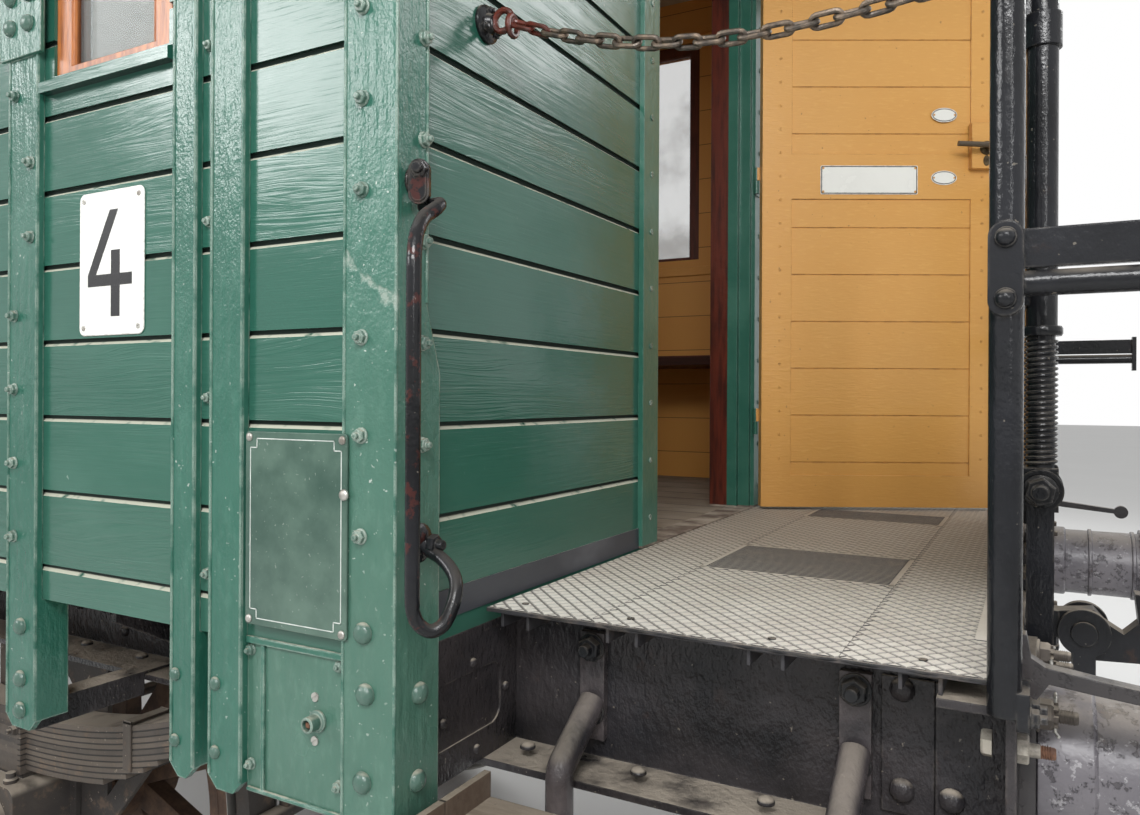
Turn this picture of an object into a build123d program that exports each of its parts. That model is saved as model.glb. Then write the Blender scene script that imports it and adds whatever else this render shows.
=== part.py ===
"""Two-axle baggage and passenger coach with open end platforms.

Millimetres, +Z up. X runs along the coach, Y across it, and the near side is -Y.
The origin is midway between the buffers, on the level of the wheel flanges' lowest point.
End a is the +X end, end b the -X end. Heights with a name ending in _up count from the deck.
"""

from build123d import *
import os
from math import acos, asin, cos, pi, radians, sin, sqrt

os.makedirs("parts", exist_ok=True)

# Wheels and levels
flange_depth = 28
wheel_diameter = 1000
wheel_width = 135
wheel_back_spacing = 1360
rim_depth = 68
hub_radius = 112
spoke_count = 10
spoke_width = 58
spoke_thickness = 46
wheelbase = 5600
deck_above_rail = 1210
deck = flange_depth + deck_above_rail
axle_height = flange_depth + wheel_diameter / 2

# Body shell
body_length = 8500
body_width = 2656
steel_thickness = 12
wall_thickness = 60
wall_foot_up = -45
eaves_up = 2010
roof_eaves_reach = 72
roof_rise = 270
roof_thickness = 40
roof_overhang = 90
board_pitch = 141
first_groove_up = 19
groove_height = 6
groove_depth = 8
board_chamfer = 6

# Underframe
solebar_height = 235
solebar_flange = 100
solebar_web = 10
section_flange = 12
solebar_inner_y = 978
floor_thickness = 31
headstock_depth = 90
headstock_half_length = 1103
bearer_height = 180
bearer_width = 70

# Platforms
platform_length = 756
platform_half_width = 1104
plate_thickness = 6
joist_width = 53
joist_wall = 5
headstock_reach = 770

# Doors
door_half_opening = 373
door_liner = 21
door_stop = 20
door_height_up = 1850
door_thickness = 40
door_gap = 8
door_foot_up = 10
door_open_angle = 118
hinge_radius = 8
baggage_opening = 1500
baggage_end_offset = 1400
baggage_lap = 40
baggage_travel = 1480
baggage_clearance = 6
baggage_head_up = 1850

# Windows
window_foot_up = 940
window_head_up = 1880
window_width = 330
window_bar = 45
glass_thickness = 6

# Buffers and draw gear
buffer_height = flange_depth + 1045
buffer_spacing = 1750
buffer_length = 620
buffer_barrel_radius = 98
buffer_ram_radius = 80
buffer_head_radius = 200
buffer_head_edge = 22
buffer_dome = 20
sliding_gap = 0.5

# Derived faces
half_length = body_length / 2
half_width = body_width / 2
board_x = half_length - steel_thickness
board_y = half_width - steel_thickness
lining_x = board_x - wall_thickness
lining_y = board_y - wall_thickness
roof_half_width = half_width + roof_eaves_reach
baggage_offset = body_length - baggage_end_offset - baggage_opening
headstock_x = half_length + headstock_reach
headstock_inner_x = headstock_x - headstock_depth
platform_x = half_length + platform_length
solebar_top = deck - floor_thickness
solebar_foot = solebar_top - solebar_height
solebar_tip_y = solebar_inner_y + solebar_web + solebar_flange
buffer_face_x = headstock_x + buffer_length
roof_half_length = headstock_x + roof_overhang
eaves = deck + eaves_up


def block(x, y, z):
    """A box between the low and high limits on each axis."""
    centre = [(limits[0] + limits[1]) / 2 for limits in (x, y, z)]
    sides = [limits[1] - limits[0] for limits in (x, y, z)]
    return Pos(*centre) * Box(*sides)


def along_x(outline, x):
    """A prism whose outline is given in Y and Z."""
    face = make_face(Polyline(*outline, close=True))
    return extrude(Plane.YZ.offset(x[0]) * face, amount=x[1] - x[0])


def along_y(outline, y):
    """A prism whose outline is given in X and Z."""
    face = make_face(Polyline(*outline, close=True))
    return extrude(Plane.XZ.offset(-y[1]) * face, amount=y[1] - y[0])


def rod(start, end, radius):
    """A round bar between two points."""
    axis = Vector(*end) - Vector(*start)
    bar = Cylinder(radius, axis.length, align=(Align.CENTER, Align.CENTER, Align.MIN))
    return Plane(origin=start, z_dir=axis) * bar


def bent_bar(points, bend, radius):
    """A round bar bent along straight runs with equal bends."""
    path = FilletPolyline(*points, radius=bend)
    section = Plane(origin=path @ 0, z_dir=path % 0) * Circle(radius)
    return sweep(section, path=path)


def both_ends(*shapes):
    """Each shape at end a, and its mirror image at end b."""
    return [*shapes, *(mirror(shape, about=Plane.YZ) for shape in shapes)]


def both_sides(*shapes):
    """Each shape on the near side, and its mirror image on the far side."""
    return [*shapes, *(mirror(shape, about=Plane.XZ) for shape in shapes)]


def turned(shape):
    """The shape turned half round the vertical, from end a to end b."""
    return Rot(0, 0, 180) * shape


def save(node, *shapes):
    """Writes the solids of one sub-part."""
    solids = [solid for shape in shapes for solid in shape.solids()]
    part = solids[0] if len(solids) == 1 else Compound(solids)
    export_step(part, f"parts/{node}.step")


# Roof arch: the underside is an arc through the eaves, and the top lies one thickness above it
roof_inner_radius = (roof_half_width**2 + roof_rise**2) / (2 * roof_rise)
roof_outer_radius = roof_inner_radius + roof_thickness
roof_centre_z = eaves + roof_rise - roof_inner_radius


def roof_z(y, radius=roof_inner_radius):
    """The height of the arch of this radius at a distance from the middle."""
    return roof_centre_z + sqrt(radius**2 - y**2)


def arch_strip(low_radius, high_radius, half_width_y, x):
    """A strip between two arcs about the roof's centre."""
    outer = [(y, roof_z(y, high_radius)) for y in (-half_width_y, 0, half_width_y)]
    inner = [(y, roof_z(y, low_radius)) for y in (half_width_y, 0, -half_width_y)]
    edges = [
        ThreePointArc(*outer),
        Line(outer[2], inner[0]),
        ThreePointArc(*inner),
        Line(inner[2], outer[0]),
    ]
    return extrude(Plane.YZ.offset(x[0]) * make_face(edges), amount=x[1] - x[0])


def under_roof(shape):
    """The part of a wall or post that stays below the roof's underside."""
    top = [(y, roof_z(y)) for y in (-roof_half_width, 0, roof_half_width)]
    edges = [
        ThreePointArc(*top),
        Line(top[2], (roof_half_width, 0)),
        Line((roof_half_width, 0), (-roof_half_width, 0)),
        Line((-roof_half_width, 0), top[0]),
    ]
    face = Plane.YZ.offset(-roof_half_length) * make_face(edges)
    return shape & extrude(face, amount=2 * roof_half_length)


groove_count = int((eaves_up - first_groove_up) // board_pitch) + 1
groove_levels = [deck + first_groove_up + board_pitch * i for i in range(groove_count)]


def side_grooves(face_y, x):
    """The grooves between the boards of a near-side face: square above, bevelled below."""
    cuts = []
    for level in groove_levels:
        outline = [
            (face_y - 1, level + groove_height / 2),
            (face_y + groove_depth, level + groove_height / 2),
            (face_y + groove_depth, level - groove_height / 2),
            (face_y, level - groove_height / 2 - board_chamfer),
            (face_y - 1, level - groove_height / 2 - board_chamfer),
        ]
        cuts.append(along_x(outline, x))
    return cuts


def end_grooves(face_x, y):
    """The same grooves on a face that looks along +X."""
    cuts = []
    for level in groove_levels:
        outline = [
            (face_x + 1, level + groove_height / 2),
            (face_x - groove_depth, level + groove_height / 2),
            (face_x - groove_depth, level - groove_height / 2),
            (face_x, level - groove_height / 2 - board_chamfer),
            (face_x + 1, level - groove_height / 2 - board_chamfer),
        ]
        cuts.append(along_y(outline, y))
    return cuts


# Underframe
def solebars():
    outer, inner = -solebar_tip_y, -solebar_inner_y
    web = inner - solebar_web
    outline = [
        (inner, solebar_foot),
        (outer, solebar_foot),
        (outer, solebar_foot + section_flange),
        (web, solebar_foot + section_flange),
        (web, solebar_top - section_flange),
        (outer, solebar_top - section_flange),
        (outer, solebar_top),
        (inner, solebar_top),
    ]
    channel = along_x(outline, (-headstock_inner_x, headstock_inner_x))
    # The upper flange stops at the end walls, so that the joists stand on the web
    for end in (-1, 1):
        beside_platform = sorted((end * board_x, end * (headstock_inner_x + 1)))
        channel = channel - block(
            beside_platform, (outer - 1, web), (solebar_top - section_flange, solebar_top + 1)
        )
    return both_sides(channel)


hook_shank = 60
shank_clearance = 0.5


def headstocks():
    outline = [
        (headstock_x, solebar_foot),
        (headstock_x, solebar_top),
        (headstock_inner_x, solebar_top),
        (headstock_inner_x, solebar_top - section_flange),
        (headstock_x - section_flange, solebar_top - section_flange),
        (headstock_x - section_flange, solebar_foot + section_flange),
        (headstock_inner_x, solebar_foot + section_flange),
        (headstock_inner_x, solebar_foot),
    ]
    beam = along_y(outline, (-headstock_half_length, headstock_half_length))
    half_slot = hook_shank / 2 + shank_clearance
    slot = block(
        (headstock_inner_x, headstock_x + 1),
        (-half_slot, half_slot),
        (buffer_height - half_slot, buffer_height + half_slot),
    )
    return both_ends(beam - slot)


end_bearer_inset = 150
bearer_places = (half_length / 6, half_length * 0.48, half_length - 740, half_length - end_bearer_inset)
bracket_places = (0, *bearer_places[:2], half_length / 3, half_length * 0.65, *bearer_places[2:])
bracket_thickness = 14
stay_width = 56
stay_leg = 50
stay_wall = 6
stay_lap = 60


def cross_members():
    pieces = []
    wall = section_flange
    for x in bearer_places:
        low, high = x - bearer_width / 2, x + bearer_width / 2
        outline = [
            (low, solebar_top - bearer_height),
            (high, solebar_top - bearer_height),
            (high, solebar_top - bearer_height + wall),
            (low + wall, solebar_top - bearer_height + wall),
            (low + wall, solebar_top - wall),
            (high, solebar_top - wall),
            (high, solebar_top),
            (low, solebar_top),
        ]
        pieces += both_ends(along_y(outline, (-solebar_inner_y, solebar_inner_y)))
    gusset = [
        (-solebar_tip_y, solebar_top),
        (-lining_y, solebar_top),
        (-lining_y, solebar_top - 55),
        (-solebar_tip_y, solebar_top - 150),
    ]
    for x in bracket_places:
        bracket = along_x(gusset, (x - bracket_thickness / 2, x + bracket_thickness / 2))
        pieces += both_sides(bracket) if x == 0 else both_ends(*both_sides(bracket))
    return pieces + body_stays() + end_aprons()


def body_stays():
    """Angle irons from the feet of the wide side posts to the lower flange of the solebar."""
    stays = []
    low = solebar_foot + section_flange
    for start, width in post_table:
        if width != post_width:
            continue
        x = half_length - start - width / 2
        flat = block(
            (x - stay_width / 2, x + stay_width / 2),
            (-board_y, -solebar_tip_y + stay_lap),
            (low, low + stay_wall),
        )
        leg = block(
            (x + stay_width / 2 - stay_wall, x + stay_width / 2),
            (-board_y, -solebar_tip_y - knuckle_gap),
            (low + stay_wall - stay_leg, low + stay_wall),
        )
        stays.append(flat + leg)
    return both_sides(*stays)


def end_aprons():
    """The plate below each corner of an end wall, between the corner post and the solebar."""
    web_y = solebar_inner_y + solebar_web
    low, high = solebar_foot + section_flange, solebar_top - section_flange
    outline = [
        (-board_y + 12, low),
        (-web_y, low),
        (-web_y, high),
        (-solebar_tip_y - knuckle_gap, high),
        (-solebar_tip_y - knuckle_gap, solebar_top),
        (-lining_y + knuckle_gap, solebar_top),
        (-lining_y + knuckle_gap, deck + wall_foot_up - knuckle_gap),
        (-board_y + 12, deck + wall_foot_up - knuckle_gap),
    ]
    plate = along_x(outline, (half_length - steel_thickness - 8, half_length - steel_thickness))
    opening = block(
        (half_length - steel_thickness - 9, half_length - steel_thickness + 1),
        (-board_y - 40, -solebar_tip_y + 50),
        (solebar_foot + 62, solebar_top - 72),
    )
    opening = fillet(opening.edges().filter_by(Axis.X), 28)
    panel = plate & opening
    panel = Pos(-3, 0, 0) * panel
    return both_ends(*both_sides((plate - opening) + panel))


def floor_planks():
    return block((-lining_x, lining_x), (-lining_y, lining_y), (solebar_top, deck))


# Side layout: distances from the corner of end a, start and width of each steel post
post_width = 97
pair_offset = 308
pair_gap = 35
pair_widths = (77, 59)
window_pitch = 1221
first_window = 672
window_post_gap = 194
# Middle of each window, as a distance from the corner of end a
window_places = (*(first_window + window_pitch * i for i in range(3)), body_length - first_window)
pair_second = pair_offset + pair_widths[0] + pair_gap
last_window_post = window_places[2] + window_post_gap
middle_bay = (baggage_offset - 2 * post_width - last_window_post) / 3
post_table = (
    (pair_offset, pair_widths[0]),
    (pair_second, pair_widths[1]),
    (window_places[0] + window_post_gap, post_width),
    (window_places[1] - window_post_gap - post_width, post_width),
    (window_places[1] + window_post_gap, post_width),
    (window_places[2] - window_post_gap - post_width, post_width),
    (last_window_post, post_width),
    (last_window_post + middle_bay, post_width),
    (last_window_post + 2 * middle_bay, post_width),
    (baggage_offset - post_width, post_width),
    (baggage_offset + baggage_opening, post_width),
    (window_places[3] - window_post_gap - post_width, post_width),
    (body_length - pair_second - pair_widths[1], pair_widths[1]),
    (body_length - pair_offset - pair_widths[0], pair_widths[0]),
)
post_foot_up = -295
pair_foot_up = -289
post_return = 50
foot_chamfer = 20
corner_leg = 99
corner_end_leg = 70
corner_end_foot = 101
gusset_low_up = 377
gusset_high_up = 474
corner_foot_up = -300
plate_post_start = post_table[2][0]
# The wall is made in bays, whose joints lie behind posts
bay_joints = [start + post_width / 2 for start, width in post_table if width == post_width]
bay_joints = [bay_joints[i] for i in (0, 2, 4, 7, 8)]


def side_wall():
    wall = under_roof(
        block((-board_x, board_x), (-board_y, -lining_y), (deck + wall_foot_up, eaves + 400))
    )
    holes = side_grooves(-board_y, (-board_x, board_x))
    depth = (-board_y - 60, -lining_y + 1)
    for place in window_places:
        middle = half_length - place
        width = (middle - window_width / 2, middle + window_width / 2)
        holes.append(block(width, depth, (deck + window_foot_up, deck + window_head_up)))
    door = (half_length - baggage_offset - baggage_opening, half_length - baggage_offset)
    holes.append(block(door, depth, (deck, deck + baggage_head_up)))
    wall = wall - holes
    sills = []
    for place in window_places:
        middle = half_length - place
        sill = [
            (-board_y + 1, deck + window_foot_up - 4),
            (-board_y - 18, deck + window_foot_up - 14),
            (-board_y - 18, deck + window_foot_up - 34),
            (-board_y + 1, deck + window_foot_up - 34),
        ]
        sills.append(along_x(sill, (middle - window_width / 2 - 20, middle + window_width / 2 + 20)))
    wall = wall + sills
    edges = [board_x, *(half_length - joint for joint in bay_joints), -board_x]
    return [
        wall & block((low, high), (-half_width - 60, 0), (0, eaves + 400))
        for high, low in zip(edges, edges[1:])
    ]


def side_posts():
    pieces = []
    for start, width in post_table:
        low = half_length - start - width
        high = half_length - start
        foot = deck + (post_foot_up if width == post_width else pair_foot_up)
        outline = [
            (low, eaves + 400),
            (low, foot + foot_chamfer),
            (low + foot_chamfer, foot),
            (high - foot_chamfer, foot),
            (high, foot + foot_chamfer),
            (high, eaves + 400),
        ]
        flat = under_roof(along_y(outline, (-half_width, -board_y)))
        returns = [
            block(
                edge,
                (-board_y - 1, -board_y + post_return),
                (foot + foot_chamfer, deck + wall_foot_up),
            )
            for edge in ((low, low + 8), (high - 8, high))
        ]
        post = flat + returns
        if start == plate_post_start:
            plate = block((low - 18, high + 18), (-half_width - 8, -half_width), (deck + 985, deck + 1150))
            post = post + plate
        pieces.append(post)
    return both_sides(*pieces)


def corner_posts():
    foot = deck + corner_foot_up
    top = eaves + 400
    side_leg = block((half_length - corner_leg, half_length), (-half_width, -board_y), (foot, top))
    outline = [
        (-half_width, foot),
        (-half_width + corner_end_foot, foot),
        (-half_width + corner_end_foot, deck + gusset_low_up),
        (-half_width + corner_end_leg, deck + gusset_high_up),
        (-half_width + corner_end_leg, top),
        (-half_width, top),
    ]
    post = under_roof(side_leg + along_x(outline, (board_x, half_length)))
    cover = block(
        (half_length - post_table[0][0], half_length - corner_leg + 14),
        (-board_y, -board_y + 6),
        (deck - 280, deck + wall_foot_up),
    )
    return both_ends(*both_sides(post + cover))


steel_ring_inner = 388
steel_ring_outer = 474
ring_head = 86
kick_height = 45
kick_thickness = 3


def end_wall():
    wall = under_roof(
        block((lining_x, board_x), (-lining_y, lining_y), (solebar_top, eaves + 400))
    )
    opening = door_half_opening + door_liner
    doorway = block(
        (lining_x - 1, board_x + 1),
        (-opening, opening),
        (solebar_top - 1, deck + door_height_up + door_liner),
    )
    wall = wall - [doorway, *end_grooves(board_x, (-lining_y - 1, lining_y + 1))]
    strip = block(
        (board_x, board_x + kick_thickness),
        (-half_width + corner_end_foot, -steel_ring_outer),
        (deck, deck + kick_height),
    )
    return wall + both_sides(strip)


liner_depth = 34
stop_inner_x = half_length - 134
threshold_up = 3
hinge_x = half_length + 9
hinge_y = door_half_opening - 2
hinge_heights_up = (230, door_height_up * 0.53, door_height_up - 190)
knuckle_length = 40
knuckle_gap = 0.3
hinge_plate = 4


def door_frame():
    outer = door_half_opening + door_liner
    top = deck + door_height_up
    liner_x = (board_x - liner_depth, board_x)
    stop_x = (stop_inner_x, board_x - liner_depth)
    stop = door_half_opening - door_stop
    liner = block(liner_x, (-outer, outer), (deck, top + door_liner))
    liner = liner - block(liner_x, (-door_half_opening, door_half_opening), (deck, top))
    wood = block(stop_x, (-outer, outer), (deck, top + door_liner))
    wood = wood - block(stop_x, (-stop, stop), (deck, top - door_stop))
    sill = block((lining_x, half_length + 2), (-outer, outer), (solebar_top, deck + threshold_up))
    ring_x = (board_x, half_length)
    ring = block(ring_x, (-steel_ring_outer, steel_ring_outer), (deck, top + ring_head))
    ring = ring - block(ring_x, (-steel_ring_inner, steel_ring_inner), (deck, top + door_liner - 6))
    frame = liner + wood + ring + sill
    for height in hinge_heights_up:
        low = deck + height
        frame += block(
            (half_length, half_length + hinge_plate),
            (hinge_y, hinge_y + 58),
            (low, low + knuckle_length),
        )
        frame += Pos(hinge_x, hinge_y, low + knuckle_length / 2) * Cylinder(hinge_radius, knuckle_length)
    return frame


# End door, modelled shut at end a
stile = 90
mid_rail_up = (954, 1092)
bottom_rail_up = 107
panel_depth = 5
door_board_pitch = 144
door_first_groove = 145
door_groove = 3
lock_up = (1043, 1181)
handle_up = 1104


def end_door():
    low_y, high_y = -door_half_opening + door_gap + 3, door_half_opening - door_gap - 2
    top = deck + door_height_up - door_gap
    outer_x = half_length
    inner_x = half_length - door_thickness
    leaf = block((inner_x, outer_x), (low_y, high_y), (deck + door_foot_up, top))
    panels = (
        (deck + bottom_rail_up, deck + mid_rail_up[0]),
        (deck + mid_rail_up[1], top - stile),
    )
    cuts = []
    for low, high in panels:
        width = (low_y + stile, high_y - stile)
        cuts.append(block((inner_x - 1, inner_x + panel_depth), width, (low, high)))
        cuts.append(block((outer_x - panel_depth, outer_x + 1), width, (low, high)))
        level = deck + door_first_groove
        while level < high - 30:
            if level < low + 30:
                level += door_board_pitch
                continue
            groove = (level, level + door_groove)
            cuts.append(block((inner_x, inner_x + panel_depth + door_groove), width, groove))
            cuts.append(block((outer_x - panel_depth - door_groove, outer_x), width, groove))
            level += door_board_pitch
    leaf = leaf - cuts
    for height in hinge_heights_up:
        low = deck + height + knuckle_length + knuckle_gap
        leaf += block((outer_x, outer_x + hinge_plate), (high_y - 66, hinge_y), (low, low + knuckle_length))
        leaf += Pos(hinge_x, hinge_y, low + knuckle_length / 2) * Cylinder(hinge_radius, knuckle_length)
    lock_y = (-door_half_opening + door_stop + 10, -door_half_opening + door_stop + 88)
    leaf += block((inner_x - 24, inner_x), lock_y, (deck + lock_up[0], deck + lock_up[1]))
    leaf += block((outer_x, outer_x + 6), lock_y, (deck + lock_up[0], deck + lock_up[1]))
    spindle_y = lock_y[0] + 34
    z = deck + handle_up
    leaf += bent_bar(
        [(inner_x - 20, spindle_y, z), (inner_x - 58, spindle_y, z), (inner_x - 58, spindle_y + 100, z + 4)],
        14,
        8,
    )
    leaf += bent_bar(
        [(outer_x + 4, spindle_y, z), (outer_x + 52, spindle_y, z), (outer_x + 52, spindle_y + 100, z + 4)],
        14,
        8,
    )
    return leaf


def swung(shape, angle):
    """The shape turned about the end a door's hinge pin."""
    pin = Pos(hinge_x, hinge_y, 0)
    return pin * Rot(0, 0, angle) * pin.inverse() * shape


# Baggage doors slide on a rail outside the near and far walls
rail_up = (1876, 1936)
rail_thickness = 12
guide_up = (-100, -40)
roller_radius = 26
roller_gap = 0.3
leaf_foot_up = -20
leaf_head_up = 1868
rail_near_y = -half_width - steel_thickness
rail_far_end = half_length - baggage_offset - baggage_opening - 80
rail_near_end = half_length - baggage_offset + baggage_travel + 80


def door_rails():
    rails = []
    for low_up, high_up in (rail_up, guide_up):
        z = (deck + low_up, deck + high_up)
        bar = block((rail_far_end, rail_near_end), (rail_near_y - rail_thickness, rail_near_y), z)
        for start, width in post_table:
            low = half_length - start - width
            if rail_far_end < low < rail_near_end - width:
                bar += block((low + 20, low + width - 20), (rail_near_y, -half_width), z)
        rails.append(bar)
    return both_sides(*rails)


def baggage_door():
    outer_y = -half_width - baggage_clearance - door_thickness
    inner_y = -half_width - baggage_clearance
    low_x = half_length - baggage_offset - baggage_opening - baggage_lap
    high_x = half_length - baggage_offset + baggage_lap
    z = (deck + leaf_foot_up, deck + leaf_head_up)
    leaf = block((low_x, high_x), (outer_y, inner_y), z)
    frame = stile
    cuts = [
        block((low_x + frame, high_x - frame), (outer_y - 1, outer_y + panel_depth), (low, high))
        for low, high in ((z[0] + 120, deck + 900), (deck + 1000, z[1] - frame))
    ]
    for level in groove_levels:
        if z[0] + 140 < level < z[1] - frame - 20 and not deck + 880 < level < deck + 1020:
            cuts.append(
                block(
                    (low_x + frame, high_x - frame),
                    (outer_y, outer_y + panel_depth + groove_height),
                    (level, level + groove_height),
                )
            )
    leaf = leaf - cuts
    roller_z = deck + rail_up[1] + roller_gap + roller_radius
    for x in (low_x + 250, high_x - 250):
        leaf += block((x - 25, x + 25), (outer_y - 8, outer_y), (z[1] - 140, roller_z + 20))
        leaf += rod((x, outer_y - 4, roller_z), (x, inner_y + 2, roller_z), roller_radius)
    middle = deck + 950
    leaf += bent_bar(
        [
            (high_x - 45, outer_y + 2, middle - 110),
            (high_x - 45, outer_y - 45, middle - 110),
            (high_x - 45, outer_y - 45, middle + 110),
            (high_x - 45, outer_y + 2, middle + 110),
        ],
        20,
        9,
    )
    return leaf


# Windows: a brown wood frame in each opening, whose foot is mostly hidden by the sill, and its pane
window_foot_bar = 14


def window_frames_and_panes():
    frames, panes = [], []
    outer_y, inner_y = -board_y + 6, -board_y + 46
    z = (deck + window_foot_up, deck + window_head_up)
    for place in window_places:
        middle = half_length - place
        x = (middle - window_width / 2, middle + window_width / 2)
        ring = block(x, (outer_y, inner_y), z)
        light = (x[0] + window_bar, x[1] - window_bar)
        light_z = (z[0] + window_foot_bar, z[1] - window_bar)
        ring = ring - block(light, (outer_y - 1, inner_y + 1), light_z)
        mid_y = (outer_y + inner_y) / 2
        pane = block(light, (mid_y - glass_thickness / 2, mid_y + glass_thickness / 2), light_z)
        frames.append(ring)
        panes.append(pane)
    return both_sides(*frames), both_sides(*panes)


# Roof with its end arches and gutters, and what stands on it
arch_depth = 60
arch_half_width = 1200
arch_thickness = 30
post_x = half_length + 757
post_y = 1126
post_radius = 19


def roof():
    length = (-roof_half_length, roof_half_length)
    shell = arch_strip(roof_inner_radius, roof_outer_radius, roof_half_width, length)
    arch = arch_strip(
        roof_inner_radius - arch_depth,
        roof_inner_radius + 1,
        arch_half_width,
        (post_x - arch_thickness / 2, post_x + arch_thickness / 2),
    )
    return shell + both_ends(arch)


vent_pitch = body_length / 4.25
vent_places = [vent_pitch * share for share in (-1.5, -0.5, 0.5, 1.5)]
chimney_places = (-vent_pitch, 0, vent_pitch)


def roof_vents():
    crown = roof_z(0, roof_outer_radius)
    pieces = []
    for x in vent_places:
        neck = Pos(x, 0, crown + 30) * Cylinder(70, 80)
        barrel = rod((x - 190, 0, crown + 130), (x + 190, 0, crown + 130), 80)
        barrel += Pos(x - 190, 0, crown + 130) * Rot(0, -90, 0) * Cone(80, 45, 60, align=(Align.CENTER, Align.CENTER, Align.MIN))
        barrel += Pos(x + 190, 0, crown + 130) * Rot(0, 90, 0) * Cone(80, 45, 60, align=(Align.CENTER, Align.CENTER, Align.MIN))
        pieces.append(neck + barrel)
    for x in chimney_places:
        base = Pos(x, 0, crown + 30) * Cylinder(90, 80)
        stack = Pos(x, 0, crown + 110) * Cylinder(60, 100)
        cap = Pos(x, 0, crown + 175) * Cone(110, 30, 50)
        pieces.append(base + stack + cap)
    shell = arch_strip(
        roof_inner_radius, roof_outer_radius, roof_half_width, (-roof_half_length, roof_half_length)
    )
    return [piece - shell for piece in pieces]


# Interior
partition_offset = 5000
partition_thickness = 40
partition_opening = 330
bench_depth = 400
bench_height = 500
bench_top = 32
# Far and near end of each bench, as distances from the corner of end a
bench_spans = ((4900, 3350), (3150, 1800), (1600, 250))


def partition():
    x = half_length - partition_offset
    wall = under_roof(
        block((x - partition_thickness / 2, x + partition_thickness / 2), (-lining_y, lining_y), (deck, eaves + 400))
    )
    doorway = block((x - 50, x + 50), (-partition_opening, partition_opening), (deck - 1, deck + door_height_up))
    return wall - doorway


def benches():
    pieces = []
    inner = -lining_y + bench_depth
    for far_end, near_end in bench_spans:
        low, high = half_length - far_end, half_length - near_end
        bench = block((low, high), (-lining_y, inner), (deck + bench_height - bench_top, deck + bench_height))
        for x in (low + 40, (low + high) / 2, high - 40):
            frame = block((x - 22, x + 22), (-lining_y, inner - 10), (deck, deck + bench_height - bench_top))
            frame = frame - block((x - 30, x + 30), (-lining_y + 50, inner - 60), (deck + 70, deck + bench_height - bench_top - 60))
            frame = frame - block((x - 30, x + 30), (-lining_y + 50, inner - 60), (deck - 1, deck + 40))
            bench += frame
        pieces.append(bench)
    return both_sides(*pieces)


# Platforms
joist_places = (50, 240, 460, 660)
plate_start = half_length + 3
fall_plate_length = 330
fall_plate_half_width = 392
fall_plate_thickness = 6
fall_hinge_x = headstock_x + 12
fall_hinge_z = deck - 10
fall_hinge_radius = 8
fall_hinge_spans = ((-360, -280), (-60, 60), (280, 360))


def platform():
    plate = block(
        (plate_start, platform_x),
        (-platform_half_width, platform_half_width),
        (deck - plate_thickness, deck),
    )
    for place in joist_places:
        low, high = half_length + place - joist_width / 2, half_length + place + joist_width / 2
        z = (solebar_top, deck - plate_thickness)
        joist = block((low, high), (-platform_half_width + 12, platform_half_width - 12), z)
        hollow = block(
            (low + joist_wall, high - joist_wall),
            (-platform_half_width, platform_half_width),
            (z[0], z[1] - joist_wall),
        )
        plate += joist - hollow
    for low, high in fall_hinge_spans:
        lug = block((headstock_x - 40, fall_hinge_x), (low, high), (solebar_top, fall_hinge_z))
        plate += lug
        plate += rod((fall_hinge_x, low, fall_hinge_z), (fall_hinge_x, high, fall_hinge_z), fall_hinge_radius)
        plate += block((platform_x - 2, headstock_x - 10), (low, high), (solebar_top, deck - plate_thickness))
    return plate


def fall_plate():
    plate = block(
        (fall_hinge_x - fall_plate_thickness / 2, fall_hinge_x + fall_plate_thickness / 2),
        (-fall_plate_half_width, fall_plate_half_width),
        (fall_hinge_z, fall_hinge_z + fall_plate_length),
    )
    for low, high in fall_hinge_spans:
        plate = plate - block(
            (fall_hinge_x - 20, fall_hinge_x + 20),
            (low - knuckle_gap, high + knuckle_gap),
            (fall_hinge_z - 20, fall_hinge_z + fall_hinge_radius + 6),
        )
    ends = [-fall_plate_half_width, *[edge for span in fall_hinge_spans for edge in span], fall_plate_half_width]
    for low, high in zip(ends[0::2], ends[1::2]):
        low = low if low == ends[0] else low + knuckle_gap
        high = high if high == ends[-1] else high - knuckle_gap
        plate += rod((fall_hinge_x, low, fall_hinge_z), (fall_hinge_x, high, fall_hinge_z), fall_hinge_radius)
    return plate


tongue_up = (-48, 0)
tongue_thickness = 14
clamp_up = (440, 551)
bar_up = (497, 543)
lower_bar_up = 479
rail_head_up = (975, 1015)
rail_x = (post_x - 7, post_x - 7 + steel_thickness)
gangway_half_width = 420
gangway_post_width = 50
outboard_reach = 290


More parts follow.
